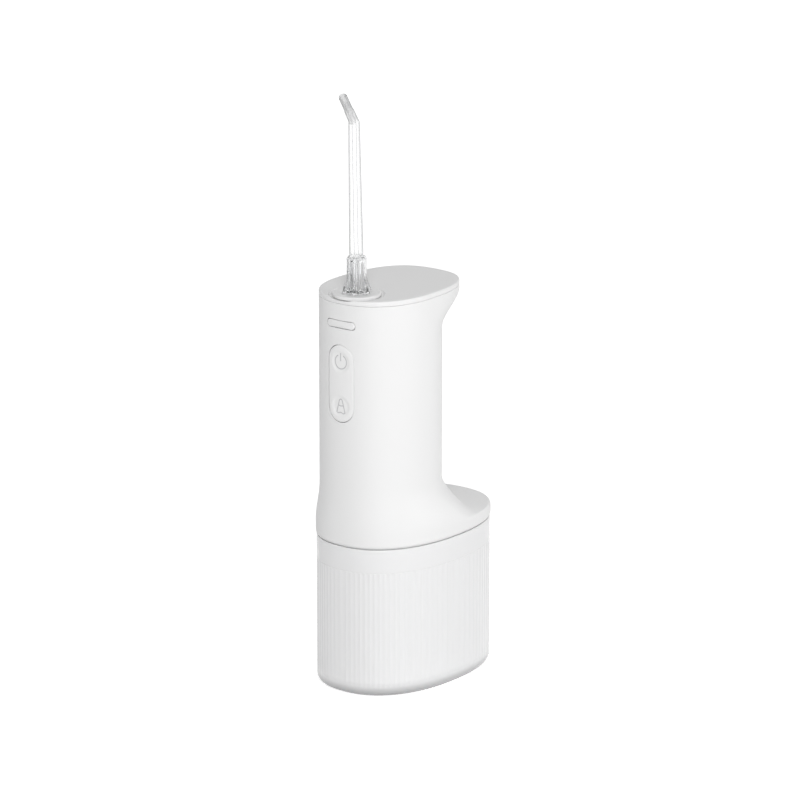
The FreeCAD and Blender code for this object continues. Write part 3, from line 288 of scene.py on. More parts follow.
# ------------------------------------------------------------------ fill cap
# The flap is of the tank's frosted plastic, lies flush in a pocket in the tank's back, and
# hangs on a steel pin in two ears. A soft silicone ring on its inside plugs the port.
PORT_Z = 48.0 * MM
CAP_WIDTH, CAP_HEIGHT, CAP_CORNER = 24.0 * MM, 20.0 * MM, 4.0 * MM
PORT_WIDTH, PORT_HEIGHT, PORT_CORNER = 16.0 * MM, 11.0 * MM, 3.0 * MM
CAP_THICKNESS = 1.6 * MM
POCKET_GAP = 0.3 * MM
FRAME_MARGIN, FRAME_CORNER, FRAME_FRONT, FRAME_BACK = 6.0 * MM, 5.0 * MM, 1.0 * MM, 4.0 * MM
NOTCH_WIDTH, NOTCH_DEPTH, NOTCH_Z = 8.0 * MM, 1.2 * MM, 59.5 * MM
TOOL_CLEAR = 3.0 * MM


def rounded_outline(width, height, radius, steps=8):
    """(x, z) points of a rounded rectangle about the origin, counter-clockwise from -Y."""
    points = []
    for quadrant in range(4):
        cx = (width / 2 - radius) * (1, -1, -1, 1)[quadrant]
        cz = (height / 2 - radius) * (1, 1, -1, -1)[quadrant]
        for i in range(steps + 1):
            angle = math.pi / 2 * (quadrant + i / steps)
            points.append((cx + radius * math.cos(angle), cz + radius * math.sin(angle)))
    return points


def recalculate(piece):
    """Points the faces of a closed piece outwards."""
    mesh = bmesh.new()
    mesh.from_mesh(piece.data)
    bmesh.ops.remove_doubles(mesh, verts=mesh.verts, dist=1e-7)
    bmesh.ops.recalc_face_normals(mesh, faces=mesh.faces)
    mesh.to_mesh(piece.data)
    mesh.free()


def relief(name, outline, z, near, far, edge=0.0, levels=10):
    """Piece with an outline in XZ between two surfaces: near(x, z) and far(x, z) give its Y.

    The faces are concentric rings, so that they can follow a curved or dimpled surface.
    The near face has its edge rounded by that much."""
    step = 1 if far(0, z) > near(0, z) else -1
    rings = []
    for k in range(1, levels + 1):
        share = k / levels * (1 - edge / outline[0][0]) if edge else k / levels
        rings.append([(x * share, z + h * share) for x, h in outline])
    faces = [[(x, near(x, h), h) for x, h in ring] for ring in rings]
    if edge:
        for i in range(1, 5):
            angle = math.pi / 2 * i / 4
            share = 1 - edge / outline[0][0] * (1 - math.sin(angle))
            drop = step * edge * (1 - math.cos(angle))
            ring = [(x * share, z + h * share) for x, h in outline]
            faces.append([(x, near(x, h) + drop, h) for x, h in ring])
    back = [[(x, far(x, h), h) for x, h in ring] for ring in rings[::-1]]
    outer = [(x, far(x, z + h), z + h) for x, h in outline]
    piece = skin(name, faces + [outer] + back[1 if not edge else 0:])
    recalculate(piece)
    return piece


def rod(name, path, segments=64):
    """Solid round bar through (centre, radius) stations."""
    rings = []
    for i, (centre, radius) in enumerate(path):
        before = path[max(i - 1, 0)][0]
        after = path[min(i + 1, len(path) - 1)][0]
        along = (after - before).normalized()
        side = along.cross(Vector((0, 1, 0))).normalized()
        up = side.cross(along).normalized()
        rings.append([tuple(centre + radius * math.cos(2 * math.pi * k / segments) * side
                            + radius * math.sin(2 * math.pi * k / segments) * up)
                      for k in range(segments)])
    piece = skin(name, rings)
    recalculate(piece)
    return piece


def tank_back(inset):
    """Y of the tank's back face, drawn in by inset, as a function of x and z."""
    half, width = TANK_HALF_LENGTH - inset, TANK_HALF_WIDTH - inset

    def surface(x, _z):
        return half * (1 - (abs(x) / width) ** TANK_ROUNDNESS) ** (1 / TANK_ROUNDNESS)
    return surface


frame_outline = rounded_outline(CAP_WIDTH + FRAME_MARGIN, CAP_HEIGHT + FRAME_MARGIN,
                                FRAME_CORNER)
port_frame = relief("port_frame", frame_outline, PORT_Z, tank_back(FRAME_FRONT),
                    tank_back(FRAME_BACK))
boolean(tank, port_frame, "UNION")
pocket_outline = rounded_outline(CAP_WIDTH + 2 * POCKET_GAP, CAP_HEIGHT + 2 * POCKET_GAP,
                                 CAP_CORNER + POCKET_GAP)
pocket = relief("pocket", pocket_outline, PORT_Z, tank_back(-TOOL_CLEAR),
                tank_back(CAP_THICKNESS + POCKET_GAP))
boolean(tank, pocket)
port_outline = rounded_outline(PORT_WIDTH, PORT_HEIGHT, PORT_CORNER)
port = relief("port", port_outline, PORT_Z, tank_back(-TOOL_CLEAR), tank_back(3 * TOOL_CLEAR))
boolean(tank, port)
HINGE_Y, HINGE_Z = TANK_HALF_LENGTH - CAP_THICKNESS - 0.01 * MM, 39.2 * MM
KNUCKLE_RADIUS = 1.15 * MM
KNUCKLE_ROOM = 0.6 * MM
EAR_INNER, EAR_OUTER, EAR_ROOT, EAR_BITE = 4.2 * MM, 6.6 * MM, 2.2 * MM, 0.3 * MM


def hinge_bar(name, reach, radius):
    """Bar along the hinge's axis, as far out to each side as reach."""
    return rod(name, [(Vector((x, HINGE_Y, HINGE_Z)), radius) for x in (-reach, 0, reach)], 48)


def ear(side):
    """Lug with a round end that holds the pin's end."""
    angles = [math.radians(-90 + 180 * i / 24) for i in range(25)]
    section = [(HINGE_Y + KNUCKLE_RADIUS * math.cos(a), HINGE_Z + KNUCKLE_RADIUS * math.sin(a))
               for a in angles]
    section += [(HINGE_Y - EAR_ROOT, HINGE_Z + KNUCKLE_RADIUS),
                (HINGE_Y - EAR_ROOT, HINGE_Z - KNUCKLE_RADIUS)]
    piece = skin("ear", [[(side * x, y, z) for y, z in section]
                         for x in (EAR_INNER, EAR_OUTER + EAR_BITE)])
    recalculate(piece)
    return piece


boolean(tank, hinge_bar("knuckle_room", EAR_OUTER, KNUCKLE_RADIUS + KNUCKLE_ROOM))
boolean(tank, ear(-1), "UNION")
boolean(tank, ear(1), "UNION")
notch_outline = rounded_outline(NOTCH_WIDTH, NOTCH_WIDTH, NOTCH_WIDTH / 2 - 0.01 * MM, 12)
boolean(tank, relief("nail_notch", notch_outline, NOTCH_Z, tank_back(-TOOL_CLEAR),
                     lambda x, z: TANK_HALF_LENGTH - NOTCH_DEPTH))
smooth(tank, 30)
tank.data.materials.clear()
tank.data.materials.append(frosted)
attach(tank, "tank")
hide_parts("tank")


def paint(node, material):
    """Gives a CAD node its finish."""
    piece = nodes[node]
    if not piece.material_slots:
        piece.data.materials.append(material)
    for held in piece.material_slots:
        held.link = "OBJECT"
        held.material = material


silicone, shader, place = new_material("white_silicone")
shader.inputs["Base Color"].default_value = (0.78, 0.79, 0.8, 1)
shader.inputs["Subsurface Weight"].default_value = 0.15
shader.inputs["Subsurface Scale"].default_value = 1.5 * MM
add_grain(silicone, shader, place, 0.4 * MM, 0.01 * MM, 0.42, 0.5)

steel, shader, place = new_material("bright_steel")
shader.inputs["Base Color"].default_value = (0.62, 0.62, 0.63, 1)
shader.inputs["Metallic"].default_value = 1.0
add_grain(steel, shader, place, 0.2 * MM, 0.003 * MM, 0.22, 0.32)

paint("fill_cap", frosted)
paint("fill_cap_seal", silicone)
paint("cap_hinge_pin", steel)

# ------------------------------------------------------------------ handle shell
# The shell is one white moulding: a skirt over the tank, a flare with a shelf at the back,
# the straight grip, and a lip that hooks out over the fingers.
lid_low, lid_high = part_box("top_lid")
BODY_TOP = lid_high.z
HANDLE_HALF_WIDTH = lid_high.x
FRONT_Y = lid_low.y
HANDLE_CENTRE = -14.1 * MM
HANDLE_FRONT = HANDLE_CENTRE - FRONT_Y
HANDLE_REAR = 24.0 * MM
HANDLE_ROUNDNESS = 2.2
BACK_Y = HANDLE_CENTRE + HANDLE_REAR
WALL = 2.2 * MM
SKIRT_PROUD = 0.35 * MM
SKIRT_WALL = 1.2 * MM
SKIRT_Z = TANK_TOP + 0.3 * MM
SKIRT_EDGE = 1.5 * MM
SHELF_Z = 73.6 * MM
SHELF_EDGE = 2.4 * MM
SHELF_RISE = 1.6 * MM
FLARE_TOP = 92.0 * MM
LIP_START, LIP_FULL = 160.0 * MM, 174.0 * MM
LIP_REAR = 37.5 * MM
LIP_ROUNDNESS = 2.6
RIM_Z = BODY_TOP - 2.3 * MM
RIM_EDGE = 0.25 * MM
SHELL_AROUND = 256


def oval(centre, front, rear, half, front_power, rear_power, z):
    flat = superellipse(centre, front, rear, half, front_power, rear_power, SHELL_AROUND)
    return [(x, y, z) for x, y in flat]


def ease(t):
    """Smooth step from 0 to 1."""
    return 3 * t ** 2 - 2 * t ** 3


def skirt_oval(draw_in, rear_draw_in, z):
    half = TANK_HALF_LENGTH + SKIRT_PROUD
    return oval(0, half - draw_in, half - rear_draw_in,
                TANK_HALF_WIDTH + SKIRT_PROUD - draw_in, TANK_ROUNDNESS, TANK_ROUNDNESS, z)


def flare_oval(share, inset, drop):
    """Section of the flare; share is 0 at the handle and 1 at the shelf's edge."""
    height = FLARE_TOP - SHELF_Z
    left = 1 - share
    z = SHELF_Z + SHELF_RISE * left + (height - SHELF_RISE) * left ** 6
    side = ease((FLARE_TOP - z) / height)
    skirt_half = TANK_HALF_LENGTH + SKIRT_PROUD
    rear = BACK_Y + (skirt_half - SHELF_EDGE - BACK_Y) * share
    front = FRONT_Y + (-skirt_half - FRONT_Y) * side
    half = HANDLE_HALF_WIDTH + (TANK_HALF_WIDTH + SKIRT_PROUD - HANDLE_HALF_WIDTH) * side
    centre = HANDLE_CENTRE * (1 - side)
    power = HANDLE_ROUNDNESS + (TANK_ROUNDNESS - HANDLE_ROUNDNESS) * side
    return oval(centre, centre - front - inset, rear - centre - inset, half - inset,
                power, power, z - drop)


def handle_oval(inset, z):
    """Level section of the straight grip."""
    return oval(HANDLE_CENTRE, HANDLE_FRONT - inset, HANDLE_REAR - inset,
                HANDLE_HALF_WIDTH - inset, HANDLE_ROUNDNESS, HANDLE_ROUNDNESS, z)


def lip_oval(t, inset, z):
    """Level section of the lip; t is 0 at its start and 1 at its full reach."""
    reach = HANDLE_REAR + (LIP_REAR - HANDLE_REAR) * ease(t)
    power = HANDLE_ROUNDNESS + (LIP_ROUNDNESS - HANDLE_ROUNDNESS) * ease(t)
    return oval(HANDLE_CENTRE, HANDLE_FRONT - inset, reach - inset, HANDLE_HALF_WIDTH - inset,
                HANDLE_ROUNDNESS, power, z)


def spread(low, high, steps):
    """Even steps from low to high, with both ends."""
    return [low + (high - low) * i / steps for i in range(steps + 1)]


def shell_rings():
    """Sections up the shell's outside and back down its inside."""
    outer = [skirt_oval(inset, inset, SKIRT_Z + rise) for inset, rise in quarter(SKIRT_EDGE, 8)]
    straight = SHELF_Z - SHELF_EDGE
    outer += [skirt_oval(0, 0, z) for z in spread(SKIRT_Z + SKIRT_EDGE, straight, 3)[1:]]
    for i in range(1, 9):
        angle = math.pi / 2 * i / 8
        outer.append(skirt_oval(0, SHELF_EDGE * (1 - math.cos(angle)),
                                straight + SHELF_EDGE * math.sin(angle)))
    outer += [flare_oval(1 - i / 44, 0, 0) for i in range(1, 45)]
    outer += [handle_oval(0, z) for z in spread(FLARE_TOP, LIP_START, 40)[1:]]
    lip_levels = spread(0, 1, 20)[1:]
    outer += [lip_oval(t, 0, LIP_START + (LIP_FULL - LIP_START) * t) for t in lip_levels]
    outer += [lip_oval(1, 0, RIM_Z - 0.8 * MM)]
    outer += [lip_oval(1, inset, RIM_Z - drop) for inset, drop in quarter(RIM_EDGE, 3)][::-1]
    inner = [lip_oval(t, WALL, LIP_START + WALL + (LIP_FULL - LIP_START) * t)
             for t in spread(0, 0.95, 10)][::-1]
    inner = [ring for ring in inner if ring[0][2] < RIM_Z - 0.2 * MM]
    inner.insert(0, lip_oval(0.96, WALL, RIM_Z))
    inner += [handle_oval(WALL, z) for z in spread(LIP_START, FLARE_TOP, 12)]
    inner += [flare_oval(i / 20, WALL, WALL) for i in range(1, 21)]
    inner += [skirt_oval(SKIRT_WALL, SKIRT_WALL, z) for z in (SHELF_Z - WALL - 0.2 * MM,
                                                             SKIRT_Z + 1.0 * MM, SKIRT_Z)]
    return outer + inner


shell = skin("handle_shell", shell_rings(), closed=True)
recalculate(shell)


def handle_face(inset):
    """Y of the handle's front face, drawn in by inset, as a function of x and z."""
    half, reach = HANDLE_HALF_WIDTH - inset, HANDLE_FRONT - inset

    def surface(x, _z):
        left = max(0.0, 1 - (abs(x) / half) ** HANDLE_ROUNDNESS)
        return HANDLE_CENTRE - reach * left ** (1 / HANDLE_ROUNDNESS)
    return surface


PAD_Z = 140.3 * MM
PAD_WIDTH, PAD_HEIGHT = 13.8 * MM, 34.5 * MM
PAD_GAP = 0.15 * MM
PAD_RECESS, RELEASE_RECESS = 1.8 * MM, 5.0 * MM
FACE_CLEAR = 2.0 * MM
RELEASE_Z = 166.7 * MM
RELEASE_WIDTH, RELEASE_HEIGHT = 15.5 * MM, 3.7 * MM
CHARGE_Z, CHARGE_RADIUS, CHARGE_DEPTH = 118.0 * MM, 7.0 * MM, 4.0 * MM


def pill(width, height, grow=0.0):
    """Outline with fully round ends."""
    radius = min(width, height) / 2 + grow
    return rounded_outline(width + 2 * grow, height + 2 * grow, radius * 0.999, 16)


boolean(shell, relief("pad_room", pill(PAD_WIDTH, PAD_HEIGHT, PAD_GAP), PAD_Z,
                      handle_face(-FACE_CLEAR), handle_face(PAD_RECESS), levels=16))
boolean(shell, relief("release_room", pill(RELEASE_WIDTH, RELEASE_HEIGHT), RELEASE_Z,
                      handle_face(-FACE_CLEAR), handle_face(RELEASE_RECESS)))
charge_outline = rounded_outline(2 * CHARGE_RADIUS, 2 * CHARGE_RADIUS, CHARGE_RADIUS * 0.999, 16)
boolean(shell, relief("charge_room", charge_outline, CHARGE_Z,
                      lambda x, z: BACK_Y - CHARGE_DEPTH, lambda x, z: BACK_Y + FACE_CLEAR))
smooth(shell, 32)

white, shader, place = new_material("satin_white_plastic")
shader.inputs["Base Color"].default_value = (0.84, 0.84, 0.84, 1)
shader.inputs["Specular IOR Level"].default_value = 0.4
add_grain(white, shader, place, 0.35 * MM, 0.006 * MM, 0.42, 0.5)
shell.data.materials.append(white)
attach(shell, "handle")
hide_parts("housing")

# ------------------------------------------------------------------ lid, disc and socket
# The lid is white plastic and closes the shell with a fine seam. A shallow dish around the
# nozzle holds the white disc that turns it, and runs out through the lid's front edge.
NOZZLE_Y = -32.6 * MM
disc_low, disc_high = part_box("rotation_disc")
DISC_TOP = disc_high.z
DISC_RADIUS = disc_high.x
DISH_RADIUS = 12.25 * MM
DISH_Z = BODY_TOP - 1.0 * MM
LID_SEAM, LID_EDGE, LID_HOLE = 0.08 * MM, 0.3 * MM, 5.0 * MM
DISC_EDGE, DISC_THICKNESS = 0.5 * MM, 1.5 * MM
SLEEVE_RADIUS, SLEEVE_Z, BORE_RADIUS = 4.6 * MM, disc_low.z, 3.35 * MM


def lathe(name, profile, segments=96):
    """Ring-shaped piece turned about the nozzle's axis from (radius, z) points."""
    rings = []
    for radius, z in profile:
        rings.append([(radius * math.cos(2 * math.pi * i / segments),
                       NOZZLE_Y + radius * math.sin(2 * math.pi * i / segments), z)
                      for i in range(segments)])
    piece = skin(name, rings, closed=True)
    recalculate(piece)
    return piece


def lid_rings():
    """Sections of the lid, from its underside to its top."""
    seam, top = RIM_Z + LID_SEAM, 2 * LID_EDGE
    rings = [lip_oval(1, share * HANDLE_HALF_WIDTH, seam) for share in (0.8, 0.4, 0.1)]
    rings += [lip_oval(1, inset, seam + rise) for inset, rise in quarter(LID_EDGE, 3)]
    rings += [lip_oval(1, 0, z) for z in spread(seam + LID_EDGE, BODY_TOP - top, 2)[1:]]
    rings += [lip_oval(1, inset, BODY_TOP - drop) for inset, drop in quarter(top, 6)][::-1]
    rings += [lip_oval(1, share * HANDLE_HALF_WIDTH, BODY_TOP) for share in (0.1, 0.4, 0.8)]
    return rings


lid = skin("top_lid_cover", lid_rings())
recalculate(lid)
dish_tool = lathe("dish_tool", [(0.5 * MM, DISH_Z), (DISH_RADIUS - 1.2 * MM, DISH_Z),
                                (DISH_RADIUS - 0.6 * MM, DISH_Z + 0.15 * MM),
                                (DISH_RADIUS - 0.1 * MM, DISH_Z + 0.6 * MM),
                                (DISH_RADIUS + 0.3 * MM, BODY_TOP + 0.2 * MM),
                                (0.5 * MM, BODY_TOP + 0.2 * MM)])
hole_tool = lathe("hole_tool", [(0.2 * MM, RIM_Z - 1 * MM), (LID_HOLE, RIM_Z - 1 * MM),
                                (LID_HOLE, BODY_TOP + 1 * MM), (0.2 * MM, BODY_TOP + 1 * MM)])
boolean(lid, dish_tool)
boolean(lid, hole_tool)
smooth(lid, 32)
lid.data.materials.append(white)
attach(lid, "handle")
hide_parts("top_lid")

disc_under = DISC_TOP - DISC_THICKNESS
disc_profile = [(BORE_RADIUS, SLEEVE_Z), (SLEEVE_RADIUS, SLEEVE_Z), (SLEEVE_RADIUS, disc_under),
                (DISC_RADIUS - 0.2 * MM, disc_under),
                (DISC_RADIUS, DISC_TOP - 1.3 * MM)]
for inset, drop in quarter(DISC_EDGE, 6)[::-1]:
    disc_profile.append((DISC_RADIUS - inset, DISC_TOP - drop))
disc_profile += [(6.9 * MM, DISC_TOP), (6.6 * MM, DISC_TOP - 0.1 * MM),
                 (BORE_RADIUS, DISC_TOP - 0.1 * MM)]
disc = lathe("turning_disc", disc_profile, segments=128)
smooth(disc, 32)
disc.data.materials.append(white)
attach(disc, "disc")
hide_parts("rotation_disc")
paint("nozzle_socket", white)
paint("socket_seal", silicone)

# ------------------------------------------------------------------ button pad and icons
# One rocking pad in white plastic, flush in a groove, with a round dimple at each end. The
# power sign is in the upper dimple and the mode sign, a jet, in the lower one. Both are pad
# printed in grey.
PAD_THICKNESS = 1.2 * MM
PAD_TRIM, PAD_EDGE, PAD_LEVELS = 0.2 * MM, 0.45 * MM, 44
DIMPLE_RADIUS, DIMPLE_FLAT, DIMPLE_DEPTH = 5.0 * MM, 3.4 * MM, 0.45 * MM
MODE_Z, POWER_Z = 130.3 * MM, 150.0 * MM
front_face = handle_face(0)


def pad_face(x, z):
    """Y of the pad's face, with its two dimples."""
    depth = 0.0
    for centre in (MODE_Z, POWER_Z):
        apart = math.hypot(x, z - centre)
        if apart < DIMPLE_RADIUS:
            depth = DIMPLE_DEPTH * (1 - ease(max(0.0, apart - DIMPLE_FLAT)
                                             / (DIMPLE_RADIUS - DIMPLE_FLAT)))
    return front_face(x, z) + depth


pad_points = rounded_outline(PAD_WIDTH - PAD_TRIM, PAD_HEIGHT - PAD_TRIM,
                             (PAD_WIDTH - PAD_TRIM) / 2 * 0.999, 28)
dense = []
for i, (x, h) in enumerate(pad_points):
    nx, nh = pad_points[(i + 1) % len(pad_points)]
    parts = max(1, int(math.hypot(nx - x, nh - h) / (0.6 * MM)))
    dense += [(x + (nx - x) * k / parts, h + (nh - h) * k / parts) for k in range(parts)]
pad = relief("button_pad_cover", dense, PAD_Z, pad_face,
             lambda x, z: front_face(x, z) + PAD_THICKNESS, PAD_EDGE, PAD_LEVELS)
smooth(pad, 50)
pad_white, shader, place = new_material("pad_white_plastic")
shader.inputs["Base Color"].default_value = (0.86, 0.86, 0.86, 1)
add_grain(pad_white, shader, place, 0.3 * MM, 0.004 * MM, 0.36, 0.44)
pad.data.materials.append(pad_white)
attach(pad, "pad")
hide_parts("button_pad")

print_grey, shader, place = new_material("pad_print")
shader.inputs["Base Color"].default_value = (0.56, 0.56, 0.57, 1)
add_grain(print_grey, shader, place, 0.2 * MM, 0.002 * MM, 0.5, 0.6)
PRINT_WIDTH, PRINT_PROUD = 0.5 * MM, 0.03 * MM


def stroke(name, path, closed):
    """Printed line lying on the pad's face along (x, z) points."""
    count = len(path)
    rings = []
    for i, (x, z) in enumerate(path):
        a = path[i - 1] if closed or i else path[0]
        b = path[(i + 1) % count] if closed or i < count - 1 else path[-1]
        length = math.hypot(b[0] - a[0], b[1] - a[1])
        across = (-(b[1] - a[1]) / length, (b[0] - a[0]) / length)
        ring = []
        for side, proud in ((-1, -1), (1, -1), (1, 1), (-1, 1)):
            px = x + across[0] * side * PRINT_WIDTH / 2
            pz = z + across[1] * side * PRINT_WIDTH / 2
            ring.append((px, pad_face(px, pz) - PRINT_PROUD * proud, pz))
        rings.append(ring)
    piece = skin(name, rings, closed=closed)
    recalculate(piece)
    piece.data.materials.append(print_grey)
    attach(piece, "pad")


ring_radius = 3.1 * MM
arc = [math.radians(115 + 310 * i / 40) for i in range(41)]
stroke("power_ring", [(ring_radius * math.cos(a), POWER_Z + ring_radius * math.sin(a))
                      for a in arc], False)
stroke("power_bar", [(0, POWER_Z + share * ring_radius) for share in
                     (0.1, 0.3, 0.5, 0.7, 0.9, 1.1, 1.25)], False)
mode_sign = [(-2.2, -2.9), (-1.9, -1.6), (-1.5, -0.1), (-1.1, 1.3), (-0.9, 2.2), (-0.5, 2.9),
             (0, 3.15), (0.5, 2.9), (0.9, 2.2), (1.1, 1.3), (1.5, -0.1), (1.9, -1.6),
             (2.2, -2.9), (1.6, -3.2), (0.8, -3.1), (0, -2.8), (-0.8, -3.1), (-1.6, -3.2)]
stroke("mode_sign", [(x * MM, MODE_Z + h * MM) for x, h in mode_sign], True)
mode_line = [(-1.3, 0.4), (-0.7, 0.15), (0, 0.05), (0.7, 0.15), (1.3, 0.4)]
stroke("mode_line", [(x * MM, MODE_Z + h * MM) for x, h in mode_line], False)

# ------------------------------------------------------------------ nozzle release button
# A flat pill in white plastic under the lip. It stands a little proud, moves a steel latch
# plate, and a steel spring brings it back.
RELEASE_PROUD = 0.4 * MM
RELEASE_GAP, RELEASE_DEPTH, RELEASE_EDGE = 0.3 * MM, 2.6 * MM, 0.5 * MM
lip_front = handle_face(-RELEASE_PROUD)
release_outline = pill(RELEASE_WIDTH, RELEASE_HEIGHT, -RELEASE_GAP)
release = relief("release_button_cover", release_outline, RELEASE_Z, lip_front,
                 lambda x, z: lip_front(x, z) + RELEASE_DEPTH, RELEASE_EDGE, 12)
smooth(release, 50)
release.data.materials.append(white)
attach(release, "release")
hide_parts("release_button")
paint("latch_plate", steel)
spring = bpy.data.objects.new("return_spring", nodes["release_spring"].data.copy())
bpy.context.collection.objects.link(spring)
spring.data.materials.clear()
spring.data.materials.append(steel)
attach(spring, "handle")
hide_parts("release_spring")
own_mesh(spring)

# ------------------------------------------------------------------ nozzle
# One clear moulding: a stem that plugs into the socket, a fluted collar for the fingers, a
# long tapered shaft, and a tip bent forwards with an open end.
NECK_RADIUS, NECK_TOP = 3.3 * MM, 193.6 * MM
STEM_RADIUS, STEM_BOTTOM, STEM_TOP = 2.8 * MM, 157.4 * MM, 170.8 * MM
RING_RADIUS, RING_Z = 5.0 * MM, 178.9 * MM
SHAFT_BASE = Vector((0, NOZZLE_Y, 183.8 * MM))
ELBOW = Vector((0, NOZZLE_Y - 1.5 * MM, 253.7 * MM))
SHAFT_LOW, SHAFT_HIGH = 3.25 * MM, 2.45 * MM
TIP_SLOPE, TIP_TURN = math.radians(45.8), math.radians(18)
WATERWAY, MOUTH_RADIUS = 1.0 * MM, 1.2 * MM
COLLAR_FLUTES, FLUTE_HALF_WIDTH = 6, 0.9 * MM

tip_way = Vector((math.sin(TIP_TURN) * math.cos(TIP_SLOPE), -math.cos(TIP_TURN)
                  * math.cos(TIP_SLOPE), math.sin(TIP_SLOPE)))
shaft_way = (ELBOW - SHAFT_BASE).normalized()
shaft_length = (ELBOW - SHAFT_BASE).length

stations = [(Vector((0, NOZZLE_Y, z)), radius) for z, radius in (
    (STEM_BOTTOM, STEM_RADIUS - 0.5 * MM), (STEM_BOTTOM + 0.2 * MM, STEM_RADIUS - 0.2 * MM),
    (STEM_BOTTOM + 0.6 * MM, STEM_RADIUS), (STEM_TOP - 0.01 * MM, STEM_RADIUS),
    (STEM_TOP, NECK_RADIUS), (RING_Z - 0.01 * MM, NECK_RADIUS), (RING_Z, RING_RADIUS),
    (RING_Z + 0.9 * MM, RING_RADIUS), (RING_Z + 1.0 * MM, NECK_RADIUS),
    (NECK_TOP - 0.4 * MM, NECK_RADIUS), (NECK_TOP, NECK_RADIUS - 0.25 * MM))]
start = (NECK_TOP - SHAFT_BASE.z) / shaft_length
for share in spread(start + 0.004, 1 - 0.6 * MM / shaft_length, 16):
    radius = SHAFT_LOW + (SHAFT_HIGH - SHAFT_LOW) * share
    stations.append((SHAFT_BASE.lerp(ELBOW, share), radius))
for rise, inset in ((0.1, 0.1), (0.6, 0.35), (0.95, 0.75), (1.15, 1.3)):
    stations.append((ELBOW + rise * MM * shaft_way, SHAFT_HIGH - inset * MM))
nozzle = rod("clear_nozzle", stations)
tip_stations = [(-1.9, 1.5), (-1.75, 2.0), (-1.3, 2.25), (-0.6, 2.3), (3.0, 2.2), (8.6, 2.05),
                (9.0, 1.87), (18.6, 1.87), (18.9, 1.8), (19.0, 1.65)]
tip = rod("tip", [(ELBOW + reach * MM * tip_way, radius * MM) for reach, radius in tip_stations])
boolean(nozzle, tip, "UNION")


def collar_tree():
    """Geometry nodes that set the flute around the nozzle and give all of it one material."""
    tree = bpy.data.node_groups.new("collar_flutes", "GeometryNodeTree")
    interface = tree.interface
    interface.new_socket("Geometry", in_out="INPUT", socket_type="NodeSocketGeometry")
    sockets = {}
    for name, kind in (("Flute", "NodeSocketObject"), ("Flute Count", "NodeSocketInt"),
                       ("Centre", "NodeSocketVector"), ("Material", "NodeSocketMaterial")):
        sockets[name] = interface.new_socket(name, in_out="INPUT", socket_type=kind)
    interface.new_socket("Geometry", in_out="OUTPUT", socket_type="NodeSocketGeometry")
    add = tree.nodes.new
    link = tree.links.new
    given, result = add("NodeGroupInput"), add("NodeGroupOutput")
    spots, flute = add("GeometryNodeMeshLine"), add("GeometryNodeObjectInfo")
    link(given.outputs["Flute Count"], spots.inputs["Count"])
    spots.inputs["Offset"].default_value = (0, 0, 0)
    link(given.outputs["Centre"], spots.inputs["Start Location"])
    link(given.outputs["Flute"], flute.inputs["Object"])
    number, step, turn = add("GeometryNodeInputIndex"), add("ShaderNodeMath"), add("ShaderNodeMath")
    step.operation, turn.operation = "DIVIDE", "MULTIPLY"
    step.inputs[0].default_value = 2 * math.pi
    link(given.outputs["Flute Count"], step.inputs[1])
    link(number.outputs[0], turn.inputs[0])
    link(step.outputs[0], turn.inputs[1])
    angle = add("ShaderNodeCombineXYZ")
    link(turn.outputs[0], angle.inputs["Z"])
    copies = add("GeometryNodeInstanceOnPoints")
    link(spots.outputs[0], copies.inputs["Points"])
    link(flute.outputs["Geometry"], copies.inputs["Instance"])
    link(angle.outputs[0], copies.inputs["Rotation"])
    real, finish = add("GeometryNodeRealizeInstances"), add("GeometryNodeSetMaterial")
    link(copies.outputs[0], real.inputs[0])
    link(real.outputs[0], finish.inputs["Geometry"])
    link(given.outputs["Material"], finish.inputs["Material"])
    link(finish.outputs[0], result.inputs[0])
    return tree, {name: socket.identifier for name, socket in sockets.items()}


flute_foot = DISC_TOP + 0.1 * MM
flute_points = [(2.0, 0), (6.5, 0), (6.45, 0.5), (6.0, 2.0), (5.4, 3.3), (4.9, 4.6), (4.6, 6.2),
                (4.4, 8.0), (4.4, 15.1), (4.25, 15.5), (3.8, 15.7), (2.0, 15.7)]
rings = []
for side, shrink in ((-1, 0.25), (-0.72, 0), (0.72, 0), (1, 0.25)):
    ring = []
    for reach, height in flute_points:
        drawn = reach - shrink if reach > 2 else reach
        ring.append((drawn * MM, side * FLUTE_HALF_WIDTH, flute_foot + height * MM))
    rings.append(ring)
flute = skin("flute", rings)
recalculate(flute)

# Painted shade: the base colour runs from near white face-on to near black at grazing angles, for
# the dark edges of clear plastic. Above the collar the alpha rises towards the edges so that this
# shade shows; the collar is opaque and refracts.
clear, shader, place = new_material("clear_plastic")
tree = clear.node_tree
facing, painted_edge_shade, edge_body, height, collar, solid = (tree.nodes.new(kind) for kind in (
    "ShaderNodeLayerWeight", "ShaderNodeMix", "ShaderNodeMapRange", "ShaderNodeSeparateXYZ",
    "ShaderNodeMapRange", "ShaderNodeMath"))
facing.inputs["Blend"].default_value = 0.3
painted_edge_shade.data_type = "RGBA"
painted_edge_shade.inputs["A"].default_value = (0.97, 0.975, 0.98, 1)
painted_edge_shade.inputs["B"].default_value = (0.1, 0.102, 0.105, 1)
tree.links.new(facing.outputs["Facing"], painted_edge_shade.inputs["Factor"])
tree.links.new(painted_edge_shade.outputs["Result"], shader.inputs["Base Color"])
edge_body.inputs["From Min"].default_value = 0.08
edge_body.inputs["From Max"].default_value = 0.65
edge_body.inputs["To Min"].default_value = 0.06
tree.links.new(facing.outputs["Facing"], edge_body.inputs["Value"])
collar.inputs["From Min"].default_value = 193.0 * MM
collar.inputs["From Max"].default_value = 197.0 * MM
collar.inputs["To Min"].default_value = 1.0
collar.inputs["To Max"].default_value = 0.0
tree.links.new(place, height.inputs[0])
tree.links.new(height.outputs["Z"], collar.inputs["Value"])
solid.operation = "MAXIMUM"
